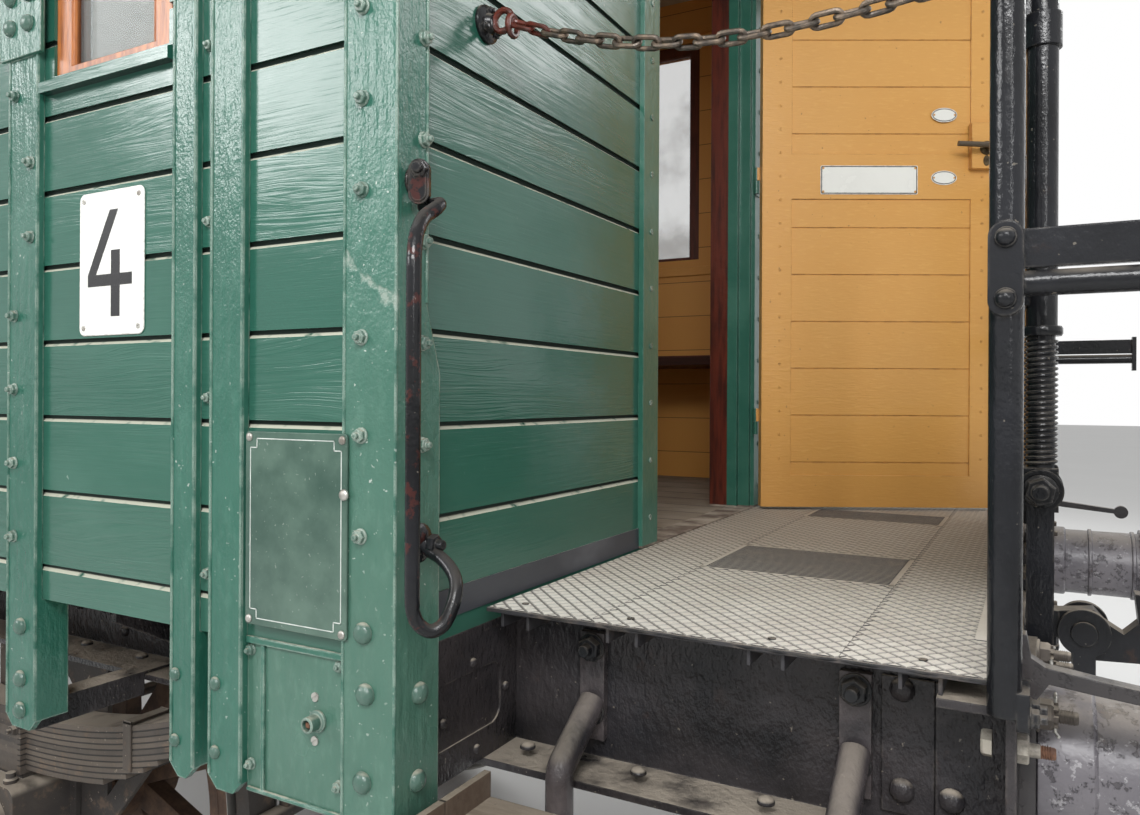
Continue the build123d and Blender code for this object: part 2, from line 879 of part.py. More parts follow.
def end_railings():
    """The post that carries the roof, the railing beside it and the guard bars outboard of it."""
    top = roof_z(post_y, roof_inner_radius - arch_depth) - 1
    post = rod((post_x, -post_y, solebar_top), (post_x, -post_y, top + 30), post_radius)
    cap = block((post_x - 60, post_x + 60), (-post_y - 60, -post_y + 60), (top - 200, top + 300))
    below = arch_strip(
        roof_inner_radius - 4 * arch_depth, roof_inner_radius - arch_depth, arch_half_width, (post_x - 80, post_x + 80)
    )
    railing = (post - cap) + (post & below)
    tongue = block(
        (headstock_x, headstock_x + tongue_thickness),
        (-post_y - post_radius + 5, -headstock_half_length + 30),
        (deck + tongue_up[0], deck + tongue_up[1]),
    )
    railing += fillet(tongue.edges().filter_by(Axis.X).group_by(Axis.Z)[0], 12)
    inner_y = -gangway_half_width
    outer_y = -post_y
    railing += block(rail_x, (outer_y, inner_y), (deck + rail_head_up[0], deck + rail_head_up[1]))
    railing += block(rail_x, (outer_y, inner_y), (deck + bar_up[0], deck + bar_up[1]))
    for share in (0.3, 0.62, 1):
        y = outer_y + (inner_y - outer_y) * share
        width = gangway_post_width if share == 1 else gangway_post_width / 2
        railing += block(rail_x, (y - width, y), (deck, deck + rail_head_up[1]))
    clamp_z = (deck + clamp_up[0], deck + clamp_up[1])
    outside = -post_y - post_radius
    clamp = block((post_x - post_radius, post_x + post_radius), (outside - 6, outside + 6), clamp_z)
    railing += fillet(clamp.edges().filter_by(Axis.Y), post_radius - 1)
    bar_end = post_x + post_radius + outboard_reach
    railing += block((post_x + 15, bar_end), (-post_y - 5, -post_y + 5), (deck + bar_up[0], deck + bar_up[1]))
    railing += rod(
        (post_x + 15, -post_y, deck + lower_bar_up), (bar_end, -post_y, deck + lower_bar_up), 15
    )
    railing += block((bar_end - 12, bar_end), (-post_y - 16, -post_y + 16), clamp_z)
    return both_ends(*both_sides(railing))


# Handbrake: crank, column, screw, nut and link, outboard of the near railing at end a
brake_x = half_length + 793
brake_y = -638
column_radius = 24
screw_radius = 21
screw_up = (226, 451)
nut_up = (160, 230)


def handbrake():
    def spot(up):
        return (brake_x, brake_y, deck + up)

    gear = rod(spot(screw_up[1]), spot(1030), column_radius)
    gear += rod(spot(925), spot(980), column_radius + 5)
    gear += rod(spot(screw_up[0]), spot(screw_up[1]), screw_radius)
    for low, high in (bar_up, rail_head_up):
        gear += block((rail_x[1], brake_x), (brake_y - 17, brake_y + 17), (deck + low + 2, deck + high - 2))
    gear += block((brake_x - 26, brake_x + 26), (brake_y - 32, brake_y + 32), (deck + nut_up[0], deck + nut_up[1]))
    pin_z = deck + (nut_up[0] + nut_up[1]) / 2
    gear += rod((brake_x, brake_y - 52, pin_z), (brake_x, brake_y + 52, pin_z), 20)
    for y in (brake_y - 44, brake_y + 32):
        gear += rod((brake_x, y, pin_z), (brake_x, y + 12, pin_z), 34)
        gear += block((brake_x - 20, brake_x + 20), (y, y + 12), (deck - 330, pin_z))
    gear += rod((brake_x, brake_y - 44, deck - 330), (brake_x, brake_y + 44, deck - 330), 26)
    gear += rod(spot(1020), spot(1065), 30)
    gear += block((brake_x - 13, brake_x + 13), (brake_y, brake_y + 230), (deck + 1040, deck + 1060))
    gear += rod((brake_x, brake_y + 218, deck + 1042), (brake_x, brake_y + 218, deck + 1170), 15)
    return gear


# Buffers
base_half = 150
base_thickness = 20
barrel_end_x = headstock_x + 320
arm_reach = 250
arm_outboard = 182
arm_width = 24


def buffer_housing():
    y = -buffer_spacing / 2
    z = buffer_height
    base = block(
        (headstock_x, headstock_x + base_thickness), (y - base_half, y + base_half), (z - base_half, solebar_top)
    )
    housing = base + rod((headstock_x, y, z), (barrel_end_x, y, z), buffer_barrel_radius)
    housing += rod((barrel_end_x - 35, y, z), (barrel_end_x, y, z), buffer_barrel_radius + 12)
    bore = rod((headstock_x + 60, y, z), (barrel_end_x + 1, y, z), buffer_ram_radius + sliding_gap)
    housing = housing - bore
    root_z = deck + 4
    outline = [
        (headstock_x, solebar_top - 20),
        (headstock_x, root_z + 46),
        (headstock_x + 9, root_z + 46),
        (headstock_x + 14, root_z + 18),
        (headstock_x + 30, root_z + 8),
        (headstock_x + 90, root_z),
        (headstock_x + arm_reach, root_z - 18),
        (headstock_x + arm_reach, root_z - 32),
        (headstock_x + 90, root_z - 18),
        (headstock_x + 34, root_z - 12),
        (headstock_x + base_thickness, root_z - 34),
        (headstock_x + base_thickness, solebar_top - 20),
    ]
    arm = along_y(outline, (y - arm_outboard, y - arm_outboard + arm_width))
    arm += rod(
        (headstock_x + arm_reach, y - arm_outboard, root_z - 25),
        (headstock_x + arm_reach, y - arm_outboard + arm_width, root_z - 25),
        20,
    )
    return housing + arm


def buffer_head(side, flat):
    """The ram with its head, on the near side for -1 and the far side for +1."""
    y = side * buffer_spacing / 2
    z = buffer_height
    dome = 0 if flat else buffer_dome
    ram_start = headstock_x + 80
    head_start = buffer_face_x - dome - buffer_head_edge
    rim_x = buffer_face_x - dome
    r = buffer_head_radius
    points = [
        (buffer_face_x, 0),
        (ram_start, 0),
        (ram_start, buffer_ram_radius),
        (head_start, buffer_ram_radius),
        (head_start, r),
        (rim_x, r),
    ]
    edges = [Line(start, end) for start, end in zip(points, points[1:])]
    if flat:
        edges.append(Line(points[-1], points[0]))
    else:
        sphere_radius = (r**2 + dome**2) / (2 * dome)
        half = r / 2
        mid_x = buffer_face_x - sphere_radius + sqrt(sphere_radius**2 - half**2)
        edges.append(ThreePointArc(points[-1], (mid_x, half), points[0]))
    head = revolve(make_face(edges), axis=Axis.X)
    return Pos(0, y, z) * head


# Draw gear
hook_pin_x = half_length + 879
hook_pin_z = buffer_height - 9
link_eye = 52
link_pin = 26


def draw_hook():
    z = buffer_height
    half = hook_shank / 2
    shank = block((headstock_inner_x - 200, headstock_x + 60), (-half, half), (z - half, z + half))
    outline = [
        (headstock_x + 58, z + half),
        (headstock_x + 58, z - half),
        (headstock_x + 130, z - 72),
        (headstock_x + 235, z - 66),
        (headstock_x + 262, z + 20),
        (headstock_x + 240, z + 78),
        (headstock_x + 205, z + 84),
        (headstock_x + 212, z + 20),
        (headstock_x + 185, z - 8),
        (headstock_x + 150, z + 14),
        (headstock_x + 128, z + 40),
    ]
    hook = shank + along_y(outline, (-half + 4, half - 4))
    hook += block((headstock_x, headstock_x + 14), (-95, 95), (z - 75, z + 75)) - block(
        (headstock_x - 1, headstock_x + 20), (-half, half), (z - half, z + half)
    )
    hook += rod((hook_pin_x, -62, hook_pin_z), (hook_pin_x, 62, hook_pin_z), link_pin)
    return hook


coupling_drop = 190
screw_length = 210
bow_length = 250


def screw_coupling():
    x, top = hook_pin_x, hook_pin_z
    low = top - coupling_drop
    parts = None
    for side in (-1, 1):
        near, far = sorted((side * 34, side * 54))
        link = rod((x, near, top), (x, far, top), link_eye)
        link += block((x - 22, x + 22), (near, far), (low, top))
        link += rod((x, near, low), (x, far, low), 38)
        link = link - rod((x, near - 1, top), (x, far + 1, top), link_pin + sliding_gap)
        parts = link if parts is None else parts + link
    parts += rod((x, -70, low), (x, 70, low), 22)
    parts += rod((x, 0, low), (x, 0, low - screw_length), 20)
    parts += block((x - 26, x + 26), (-28, 28), (low - 30, low + 30))
    foot = low - screw_length
    parts += block((x - 26, x + 26), (-28, 28), (foot - 30, foot + 30))
    parts += rod((x, -66, foot), (x, 66, foot), 20)
    bow = [(x, -52, foot), (x, -52, foot - bow_length), (x, 52, foot - bow_length), (x, 52, foot)]
    parts += bent_bar(bow, 48, 17)
    middle = low - screw_length / 2
    parts += rod((x, 0, middle), (x + 105, 0, middle + 40), 9)
    parts += Pos(x + 112, 0, middle + 42) * Sphere(24)
    return parts


# Brake pipe with its hoses, one run under the whole frame
pipe_y = 300
pipe_z = solebar_foot - 22
pipe_radius = 17
hose_radius = 24


def brake_pipe():
    end = headstock_x + 36
    pipe = rod((-end, pipe_y, pipe_z), (end, pipe_y, pipe_z), pipe_radius)
    for side in (1, -1):
        pipe += rod((side * end, pipe_y, pipe_z - 20), (side * end, pipe_y, pipe_z + 70), 26)
        hose = [
            (side * end, pipe_y, pipe_z + 62),
            (side * (end + 75), pipe_y, pipe_z + 66),
            (side * (end + 90), pipe_y + 20, pipe_z - 190),
            (side * (end + 70), pipe_y + 120, pipe_z - 330),
            (side * (end + 30), pipe_y + 190, pipe_z - 160),
        ]
        pipe += bent_bar(hose, 45, hose_radius)
        x, y, z = hose[-1]
        pipe += rod((x, y, z - 10), (x, y, z + 30), 34)
        pipe += block((x - side * 5 - 7, x - side * 5 + 7), (y - 20, y + 20), (z + 20, solebar_foot))
    for place in [side * place for side in (-1, 1) for place in bearer_places[:3]]:
        pipe += block(
            (place - 15, place + 15), (pipe_y - 6, pipe_y + 6), (pipe_z, solebar_top - bearer_height)
        )
    return pipe


# Running gear. Each axle stands at half the wheelbase from the middle
axle_x = wheelbase / 2
journal_y = 1010
journal_radius = 60
journal_clearance = 0.1
axle_radius = 75
seat_radius = 86
box_half_width = 108
box_half_height = 112
box_y = (925, 1110)
guard_y = (944, 956)
guard_slot = 113
guard_gap = 0.5
box_flange = 22
guard_reach = 640
guard_knee = 250
guard_foot = 190
guard_horn = 235
guard_stay = 55


def axle_guard():
    """The plate with two horns and two slanting stays that guides one axle box, at the near side of end a."""
    x, z = axle_x, axle_height
    outline = [
        (x - guard_reach, solebar_top - 60),
        (x + guard_reach, solebar_top - 60),
        (x + guard_reach, solebar_foot),
        (x + guard_knee, z),
        (x + guard_foot, z - 190),
        (x - guard_foot, z - 190),
        (x - guard_knee, z),
        (x - guard_reach, solebar_foot),
    ]
    y = (-guard_y[1], -guard_y[0])
    plate = along_y(outline, y)
    slot = block((x - guard_slot, x + guard_slot), (y[0] - 1, y[1] + 1), (z - 158, z + 250))
    slot += Pos(x, (y[0] + y[1]) / 2, z + 250) * Rot(90, 0, 0) * Cylinder(guard_slot, 20)
    plate = plate - slot
    rise, run = solebar_foot - z, guard_reach - guard_knee
    inset = guard_stay * sqrt(rise**2 + run**2) / rise
    gap_top = solebar_foot - 20
    gap_foot = z + (guard_horn - guard_knee + inset) * rise / run
    gap_tip = guard_knee - inset + (gap_top - z) * run / rise
    for side in (-1, 1):
        gap = [
            (x + side * guard_horn, gap_top),
            (x + side * gap_tip, gap_top),
            (x + side * guard_horn, gap_foot),
        ]
        plate = plate - along_y(gap, (y[0] - 1, y[1] + 1))
    packing = block(
        (x - guard_reach + 40, x + guard_reach - 40),
        (-solebar_inner_y, -guard_y[1]),
        (solebar_foot + 70, solebar_top - 60),
    )
    return plate + packing


def axle_box():
    x, z = axle_x, axle_height
    body = block((x - box_half_width, x + box_half_width), (-box_y[1], -box_y[0]), (z - box_half_height, z + box_half_height))
    body = fillet(body.edges().filter_by(Axis.Y), 30)
    for low, high in (
        (-guard_y[0] + guard_gap, -guard_y[0] + guard_gap + 14),
        (-guard_y[1] - guard_gap - 14, -guard_y[1] - guard_gap),
    ):
        wide = box_half_width + box_flange
        body += block((x - wide, x + wide), (low, high), (z - 88, z + 88))
    body += rod((x, -box_y[1], z), (x, -box_y[1] - 18, z), 92)
    body += block((x - 60, x + 60), (-journal_y - 50, -journal_y + 50), (z + box_half_height - 1, spring_foot_z))
    bore = rod((x, -journal_y - 85, z), (x, -box_y[0] + 20, z), journal_radius + journal_clearance)
    return body - bore


leaf_half_lengths = (750, 740, 700, 660, 620, 580, 540, 490, 430, 350)
leaf_thickness = 13
leaf_width = 90
spring_camber = 140
buckle_half_width = 65
buckle_wall = 8
saddle_thickness = 12
spring_foot_z = axle_height + box_half_height + saddle_thickness
spring_top_z = spring_foot_z + buckle_wall + leaf_thickness * len(leaf_half_lengths)
shackle_reach = 62
shackle_half_height = 18
spring_radius = (leaf_half_lengths[0] ** 2 + spring_camber**2) / (2 * spring_camber)


def leaf_spring():
    """The laminated spring over one axle box, with its buckle, shackles and brackets."""
    centre_z = spring_top_z + spring_radius
    y = (-journal_y - leaf_width / 2, -journal_y + leaf_width / 2)
    spring = None

    def place(radius, angle):
        return (axle_x + radius * sin(angle), centre_z - radius * cos(angle))

    for number, half_length_of_leaf in enumerate(leaf_half_lengths):
        inner = spring_radius + leaf_thickness * number
        outer = inner + leaf_thickness
        angle = asin(half_length_of_leaf / spring_radius)
        edges = [
            ThreePointArc(place(inner, -angle), place(inner, 0), place(inner, angle)),
            Line(place(inner, angle), place(outer, angle)),
            ThreePointArc(place(outer, angle), place(outer, 0), place(outer, -angle)),
            Line(place(outer, -angle), place(inner, -angle)),
        ]
        leaf = extrude(Plane.XZ.offset(-y[1]) * make_face(edges), amount=leaf_width)
        spring = leaf if spring is None else spring + leaf
    spring += block(
        (axle_x - buckle_half_width, axle_x + buckle_half_width),
        (y[0] - 14, y[1] + 3),
        (spring_foot_z, spring_top_z + 22),
    )
    angle = asin(leaf_half_lengths[0] / spring_radius)
    for side in (-1, 1):
        eye_x, eye_z = place(spring_radius + leaf_thickness / 2, side * angle)
        hang_x, hang_z = eye_x + side * shackle_reach, solebar_foot - 42
        spring += rod((eye_x, y[0] - 8, eye_z), (eye_x, y[1] + 8, eye_z), 24)
        spring += rod((hang_x, y[0] - 8, hang_z), (hang_x, y[1] + 8, hang_z), 24)
        half = shackle_half_height
        shackle = [
            (eye_x, eye_z - half),
            (hang_x, hang_z - half),
            (hang_x, hang_z + half),
            (eye_x, eye_z + half),
        ]
        for low in (y[0] - 8, y[1]):
            spring += along_y(shackle, (low, low + 8))
        spring += block(
            (hang_x - 30, hang_x + 30), (-journal_y - 30, -journal_y + 30), (hang_z, solebar_foot)
        )
    return spring


def wheel():
    """One spoked wheel about the origin, with its flange towards -Y and its tread to +Y."""
    tread = wheel_diameter / 2
    rim_inner = tread - rim_depth
    profile = [
        (rim_inner, 0),
        (tread + 18, 0),
        (tread + flange_depth, 9),
        (tread + flange_depth, 20),
        (tread + 7, 33),
        (tread, 60),
        (tread - 5, wheel_width),
        (rim_inner, wheel_width),
    ]
    face = make_face(Polyline(*[(r, y, 0) for r, y in profile], close=True))
    rim = revolve(face, axis=Axis.Y)
    hub = Pos(0, wheel_width / 2, 0) * Rot(90, 0, 0) * Cylinder(hub_radius, wheel_width + 40)
    body = rim + hub
    middle = wheel_width / 2
    y = (middle - spoke_thickness / 2, middle + spoke_thickness / 2)
    half = spoke_width / 2
    outline = [
        (-half - 10, hub_radius - 20),
        (half + 10, hub_radius - 20),
        (half - 6, rim_inner + 6),
        (-half + 6, rim_inner + 6),
    ]
    spoke = along_y(outline, y)
    body += [Rot(0, 360 / spoke_count * i, 0) * spoke for i in range(spoke_count)]
    bore = Pos(0, middle, 0) * Rot(90, 0, 0) * Cylinder(seat_radius + journal_clearance, wheel_width + 60)
    return body - bore


def wheels(x):
    inner = wheel_back_spacing / 2
    far = Pos(x, inner, axle_height) * wheel()
    near = mirror(far, about=Plane.XZ)
    return [far, near]


def axle(x):
    inner = wheel_back_spacing / 2
    stations = (
        (0, inner - 30, axle_radius),
        (inner - 30, inner + wheel_width + 30, seat_radius),
        (inner + wheel_width + 30, box_y[0] - 12, axle_radius),
        (box_y[0] - 12, journal_y + 80, journal_radius),
    )
    shaft = None
    for start, end, radius in stations:
        for side in (-1, 1):
            step = rod((x, side * start, axle_height), (x, side * end, axle_height), radius)
            shaft = step if shaft is None else shaft + step
    return shaft


# Brake gear
shoe_gap = 7
shoe_thickness = 45
shoe_half_angle = 18
shoe_y = 757
shoe_width = 80
beam_radius = 20
hanger_radius = 14


def shoe(x, side):
    """A brake shoe beside a wheel at x, on its side towards +X or -X."""
    inner = wheel_diameter / 2 + shoe_gap
    outer = inner + shoe_thickness
    spread = radians(shoe_half_angle)
    z = axle_height

    def place(radius, angle):
        return (x + side * radius * cos(angle), z + radius * sin(angle))

    edges = [
        ThreePointArc(place(inner, -spread), place(inner, 0), place(inner, spread)),
        Line(place(inner, spread), place(outer, spread)),
        ThreePointArc(place(outer, spread), place(outer, 0), place(outer, -spread)),
        Line(place(outer, -spread), place(inner, -spread)),
    ]
    face = Plane.XZ.offset(shoe_y - shoe_width / 2) * make_face(edges)
    return extrude(face, amount=shoe_width)


def brake_rigging():
    reach = wheel_diameter / 2 + shoe_gap + shoe_thickness
    sets = []
    for side in (-1, 1):
        beam_x = axle_x + side * (reach + 12)
        gear = rod((beam_x, -shoe_y - 20, axle_height), (beam_x, shoe_y + 20, axle_height), beam_radius)
        gear += both_sides(shoe(axle_x, side))
        top = (beam_x + side * 40, -shoe_y + 60, solebar_top)
        hanger = rod((beam_x, -shoe_y + 60, axle_height), top, hanger_radius)
        hanger = hanger - block((top[0] - 60, top[0] + 60), (-shoe_y, -shoe_y + 120), (solebar_top, deck))
        gear += both_sides(hanger)
        sets.append(gear)
    inner, outer = sets
    inner_x = axle_x - reach - 12
    lever_top = axle_height + 120
    inner += block((inner_x - 10, inner_x + 10), (-25, 25), (axle_height - 40, lever_top + 20))
    other = mirror(inner, about=Plane.YZ)
    pull_rod = rod((-inner_x, 0, lever_top), (inner_x, 0, lever_top), hanger_radius)
    joined = inner + other + pull_rod
    cylinder_z = solebar_top - 260
    cylinder = rod((-640, 0, cylinder_z), (-300, 0, cylinder_z), 150)
    cylinder += rod((-660, 0, cylinder_z), (-630, 0, cylinder_z), 170)
    cylinder += rod((-300, 0, cylinder_z), (-180, 0, cylinder_z), 25)
    cylinder += block((-600, -360), (-60, 60), (cylinder_z + 120, solebar_top))
    tank_z = solebar_top - 390
    tank = rod((300, -450, tank_z), (1100, -450, tank_z), 180)
    for x in (420, 980):
        tank += block((x - 20, x + 20), (-480, -420), (tank_z + 150, solebar_top))
    return [joined, *both_ends(outer), cylinder, tank]


# Steps below each platform entrance
step_x = (half_length + 32, half_length + 700)
step_thickness = 30
step_edge = 40
hanger_places = (144, 564)
step_bar_radius = 22
step_clearance = 0.2
strap_y = solebar_inner_y + solebar_web
upright_y = solebar_tip_y + step_clearance + step_bar_radius
# Each board: height of its top, inner edge and outer edge from the middle
step_table = (
    (-290, upright_y + step_bar_radius + step_clearance, 1335),
    (-620, 1180, 1430),
)


def step_boards():
    boards = []
    for up, inner, outer in step_table:
        board = block(step_x, (-outer, -inner), (deck + up - step_thickness, deck + up))
        board += block(
            (step_x[0] - 12, step_x[0]), (-outer, -inner), (deck + up - step_thickness, deck + up + step_edge)
        )
        boards.append(board)
    return both_ends(*both_sides(*boards))


def step_hangers():
    hangers = []
    for place in hanger_places:
        x = half_length + place
        strap = block((x - 22, x + 22), (-strap_y - 14, -strap_y), (deck - 222, deck - 46))
        low = step_table[1][0] - step_thickness - step_bar_radius
        bar = bent_bar(
            [
                (x, -strap_y - 12, deck - 160),
                (x, -upright_y, deck - 232),
                (x, -upright_y, deck + low),
                (x, -step_table[1][2] + 10, deck + low),
            ],
            [28, 50],
            step_bar_radius,
        )
        arm_z = deck + step_table[0][0] - step_thickness - step_bar_radius
        arm = rod((x, -upright_y, arm_z), (x, -step_table[0][2] + 10, arm_z), step_bar_radius)
        hangers.append(strap + bar + arm)
    return both_ends(*both_sides(*hangers))


# Handrail at each corner post
grip_radius = 12
grip_x = half_length + 55
grip_y = -half_width - 30


def handrails():
    top_y = -half_width + 40
    foot_y = -half_width + 51
    bar = bent_bar(
        [
            (half_length + 26, top_y, deck + 655),
            (grip_x, grip_y, deck + 600),
            (grip_x, grip_y, deck + 30),
            (half_length + 98, grip_y + 42, deck - 5),
            (half_length + 100, foot_y, deck + 70),
            (half_length + 12, foot_y, deck + 130),
        ],
        [30, 22, 22, 28],
        grip_radius,
    )
    bar += rod((half_length, top_y, deck + 650), (half_length + 34, top_y, deck + 650), 19)
    bar += rod((half_length, foot_y, deck + 130), (half_length + 24, foot_y, deck + 130), 22)
    return both_ends(*both_sides(bar))


# Safety chain across each platform entrance: six-sided links along a hanging curve
chain_y = -1093
chain_wall_up = 940
chain_post_up = 868
chain_sag_up = 850
link_length = 50
link_width = 26
link_wire = 8
link_gap = 0.6


def chain_link():
    """One link, long in X and wide in Y."""
    outer = [(link_length / 2 * a, link_width / 2 * b) for a, b in
             ((-1, 0.5), (-0.72, 1), (0.72, 1), (1, 0.5), (1, -0.5), (0.72, -1), (-0.72, -1), (-1, -0.5))]
    length, width = link_length - 2 * link_wire, link_width - 2 * link_wire
    inner = [(length / 2 * a, width / 2 * b) for a, b in ((-1, 0.9), (1, 0.9), (1, -0.9), (-1, -0.9))]
    ring = make_face(Polyline(*outer, close=True)) - make_face(Polyline(*inner, close=True))
    return extrude(Pos(0, 0, -link_wire / 2) * ring, amount=link_wire)


def safety_chains():
    start = board_x + 52
    end = post_x - post_radius - 22
    span = end - start
    sag = chain_wall_up - chain_sag_up
    low_share = 0.62

    def height(x):
        share = (x - start) / span
        if share < low_share:
            return deck + chain_sag_up + sag * (1 - share / low_share) ** 2
        rest = (share - low_share) / (1 - low_share)
        return deck + chain_sag_up + (chain_post_up - chain_sag_up) * rest**2

    pitch = link_length - 2 * link_wire - link_gap
    pieces = []
    x = start
    flat = False
    while x < end:
        slope = (height(x + 5) - height(x - 5)) / 10
        run = pitch / sqrt(1 + slope**2)
        turn = -asin(slope / sqrt(1 + slope**2)) * 180 / pi
        link = Rot(0, turn, 0) * Rot(90 if flat else 0, 0, 0) * chain_link()
        pieces.append(Pos(x, chain_y, height(x)) * link)
        flat = not flat
        x += run
    plate = rod((board_x, chain_y, deck + 955), (board_x + 8, chain_y, deck + 955), 36)
    plate += rod((board_x, chain_y, deck + 955), (start - 18, chain_y, deck + 955), 9)
    return both_ends(*both_sides(plate, *pieces))


save("solebars", *solebars())
save("headstocks", *headstocks())
save("cross_members", *cross_members())
save("floor_planks", floor_planks())
near_wall = side_wall()
save("side_wall_near", *near_wall)
save("side_wall_far", *(mirror(bay, about=Plane.XZ) for bay in near_wall))
save("side_posts", *side_posts())
save("corner_posts", *corner_posts())
wall_a = end_wall()
save("end_wall_a", wall_a)
save("end_wall_b", turned(wall_a))
frame_a = door_frame()
save("door_frames", frame_a, turned(frame_a))
shut_door = end_door()
save("end_door_a", swung(shut_door, door_open_angle))
save("end_door_b", turned(shut_door))
save("door_rails", *door_rails())
near_door = baggage_door()
save("baggage_door_near", near_door)
save("baggage_door_far", mirror(near_door, about=Plane.XZ))
window_rings, window_panes = window_frames_and_panes()
save("window_frames", *window_rings)
save("window_glass", *window_panes)
save("roof", roof())
save("roof_vents", *roof_vents())
save("partition", partition())
save("benches", *benches())
save("platforms", *both_ends(platform()))
save("fall_plate_a", fall_plate())
save("fall_plate_b", mirror(fall_plate(), about=Plane.YZ))
save("end_railings", *end_railings())
save("handbrake", handbrake())
save("buffer_housings", *both_ends(*both_sides(buffer_housing())))
heads_a = [buffer_head(-1, True), buffer_head(1, False)]
save("buffer_heads", *heads_a, *[turned(head) for head in heads_a])
save("draw_hooks", *both_ends(draw_hook()))
save("screw_couplings", *both_ends(screw_coupling()))
save("brake_pipe", brake_pipe())
save("axle_guards", *both_ends(*both_sides(axle_guard())))
save("axle_boxes", *both_ends(*both_sides(axle_box())))
save("leaf_springs", *both_ends(*both_sides(leaf_spring())))
save("brake_rigging", *brake_rigging())
save("wheels_a", *wheels(axle_x))
save("axle_a", axle(axle_x))
save("wheels_b", *wheels(-axle_x))
save("axle_b", axle(-axle_x))
save("step_boards", *step_boards())
save("step_hangers", *step_hangers())
save("handrails", *handrails())
save("safety_chains", *safety_chains())
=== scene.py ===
"""Finishes and fittings of a two-axle baggage and passenger coach with open end platforms.

Metres, +Z up. X runs along the coach, the near side is -Y, and end a is the +X end.
Heights with a name ending in _up count from the deck.
"""

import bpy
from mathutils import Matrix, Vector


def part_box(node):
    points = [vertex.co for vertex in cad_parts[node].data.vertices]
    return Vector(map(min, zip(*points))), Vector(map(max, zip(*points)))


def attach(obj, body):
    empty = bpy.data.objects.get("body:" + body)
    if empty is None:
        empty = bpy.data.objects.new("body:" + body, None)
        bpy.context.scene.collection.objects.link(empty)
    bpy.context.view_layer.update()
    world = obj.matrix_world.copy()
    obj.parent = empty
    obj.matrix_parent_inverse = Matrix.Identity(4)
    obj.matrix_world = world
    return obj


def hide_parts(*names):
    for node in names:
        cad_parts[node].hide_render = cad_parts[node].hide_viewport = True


bl_info = {
    "name": "Two-axle coach dressing",
    "version": (1, 0, 0),
    "blender": (4, 5, 0),
    "location": "View3D > Sidebar > Coach",
    "description": "Finishes, fastenings, plates and trim for a boarded two-axle coach",
    "category": "Object",
}

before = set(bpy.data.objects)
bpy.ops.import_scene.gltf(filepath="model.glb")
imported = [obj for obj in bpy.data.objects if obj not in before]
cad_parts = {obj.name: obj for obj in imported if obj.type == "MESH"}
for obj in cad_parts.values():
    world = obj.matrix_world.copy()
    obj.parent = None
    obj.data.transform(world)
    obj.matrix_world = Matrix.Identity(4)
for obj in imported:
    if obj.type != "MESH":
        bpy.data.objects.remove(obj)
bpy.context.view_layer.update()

import random
from math import asin, atan, cos, pi, radians, sin, sqrt

import bpy
from bpy.props import FloatProperty, FloatVectorProperty, IntProperty, PointerProperty
from mathutils import Matrix, Vector


def low(node):
    return Vector(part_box(node)[0])


def high(node):
    return Vector(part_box(node)[1])


# Main faces, read from the frame
END_X = high("corner_posts").x
SIDE_Y = high("corner_posts").y
STEEL = 0.012
BOARD_X = END_X - STEEL
BOARD_Y = SIDE_Y - STEEL
LINING = 0.060
DECK = high("floor_planks").z
EAVES = DECK + 2.010
HEADSTOCK_FACE = high("headstocks").x
SOLEBAR_TOP = high("headstocks").z
SOLEBAR_FOOT = low("headstocks").z
SOLEBAR_WEB_Y = 0.988
PLATE_EDGE_X = END_X + 0.756
PLATE_EDGE_Y = 1.104
BUFFER_Y = 0.875
BUFFER_Z = (low("buffer_heads").z + high("buffer_heads").z) / 2
POST_X, POST_Y = END_X + 0.757, 1.126
POST_RADIUS = 0.019
AXLE_X = (low("axle_a").x + high("axle_a").x) / 2
AXLE_Z = (low("axle_a").z + high("axle_a").z) / 2
# The axle box, its seat, a packing plate and the spring lie on one another
SPRING_TOP = AXLE_Z + 0.112 + 0.012 + 0.008 + 0.130
SPRING_CAMBER = 0.140
LEAF_THICKNESS = 0.013
DOOR_HINGE = Vector((END_X + 0.009, 0.371, 0))
DOOR_SWING = radians(118)
BOARD_PITCH = 0.141
FIRST_GROOVE_UP = 0.019
CORNERS = [(end, side) for end in (1, -1) for side in (-1, 1)]


def tone(red, green, blue):
    """A colour given as 0 to 255 on screen, as the linear values that shaders take."""
    return tuple(((c / 255 + 0.055) / 1.055) ** 2.4 if c > 10 else c / 3294 for c in (red, green, blue))


def colour_property(name, description, default):
    return FloatVectorProperty(
        name=name, description=description, subtype="COLOR", size=3, min=0, max=1, default=default
    )


def length_property(name, description, default):
    return FloatProperty(name=name, description=description, unit="LENGTH", default=default, min=default / 3)


class CoachColours(bpy.types.PropertyGroup):
    """Paints, woods and metals of the coach"""

    body: colour_property("Body green", "Gloss paint on boards and steel posts", tone(39, 92, 77))
    body_light: colour_property("Worn green", "Where the green has faded or been rubbed", tone(84, 130, 114))
    ochre: colour_property("Ochre", "Paint on doors, partition and inner walls", tone(214, 159, 84))
    varnish: colour_property("Varnish", "Window frames outside", tone(184, 112, 58))
    mahogany: colour_property("Mahogany", "Window frames inside, benches and door stops", tone(92, 40, 28))
    black: colour_property("Black paint", "Rails, handbrake, buffers and underframe", tone(30, 31, 33))
    primer: colour_property("Red primer", "What shows under chipped black paint", tone(98, 44, 34))
    dust: colour_property("Dust", "Grey-brown dirt on whatever faces up", tone(164, 154, 140))
    plate_steel: colour_property("Tread plate", "Trodden top of the platform plate", tone(226, 221, 210))
    weathered: colour_property("Weathered wood", "Step boards and floor planks", tone(140, 128, 112))
    canvas: colour_property("Roof canvas", "Painted canvas of the roof", tone(138, 140, 138))
    enamel: colour_property("Enamel", "White plates", tone(236, 236, 230))


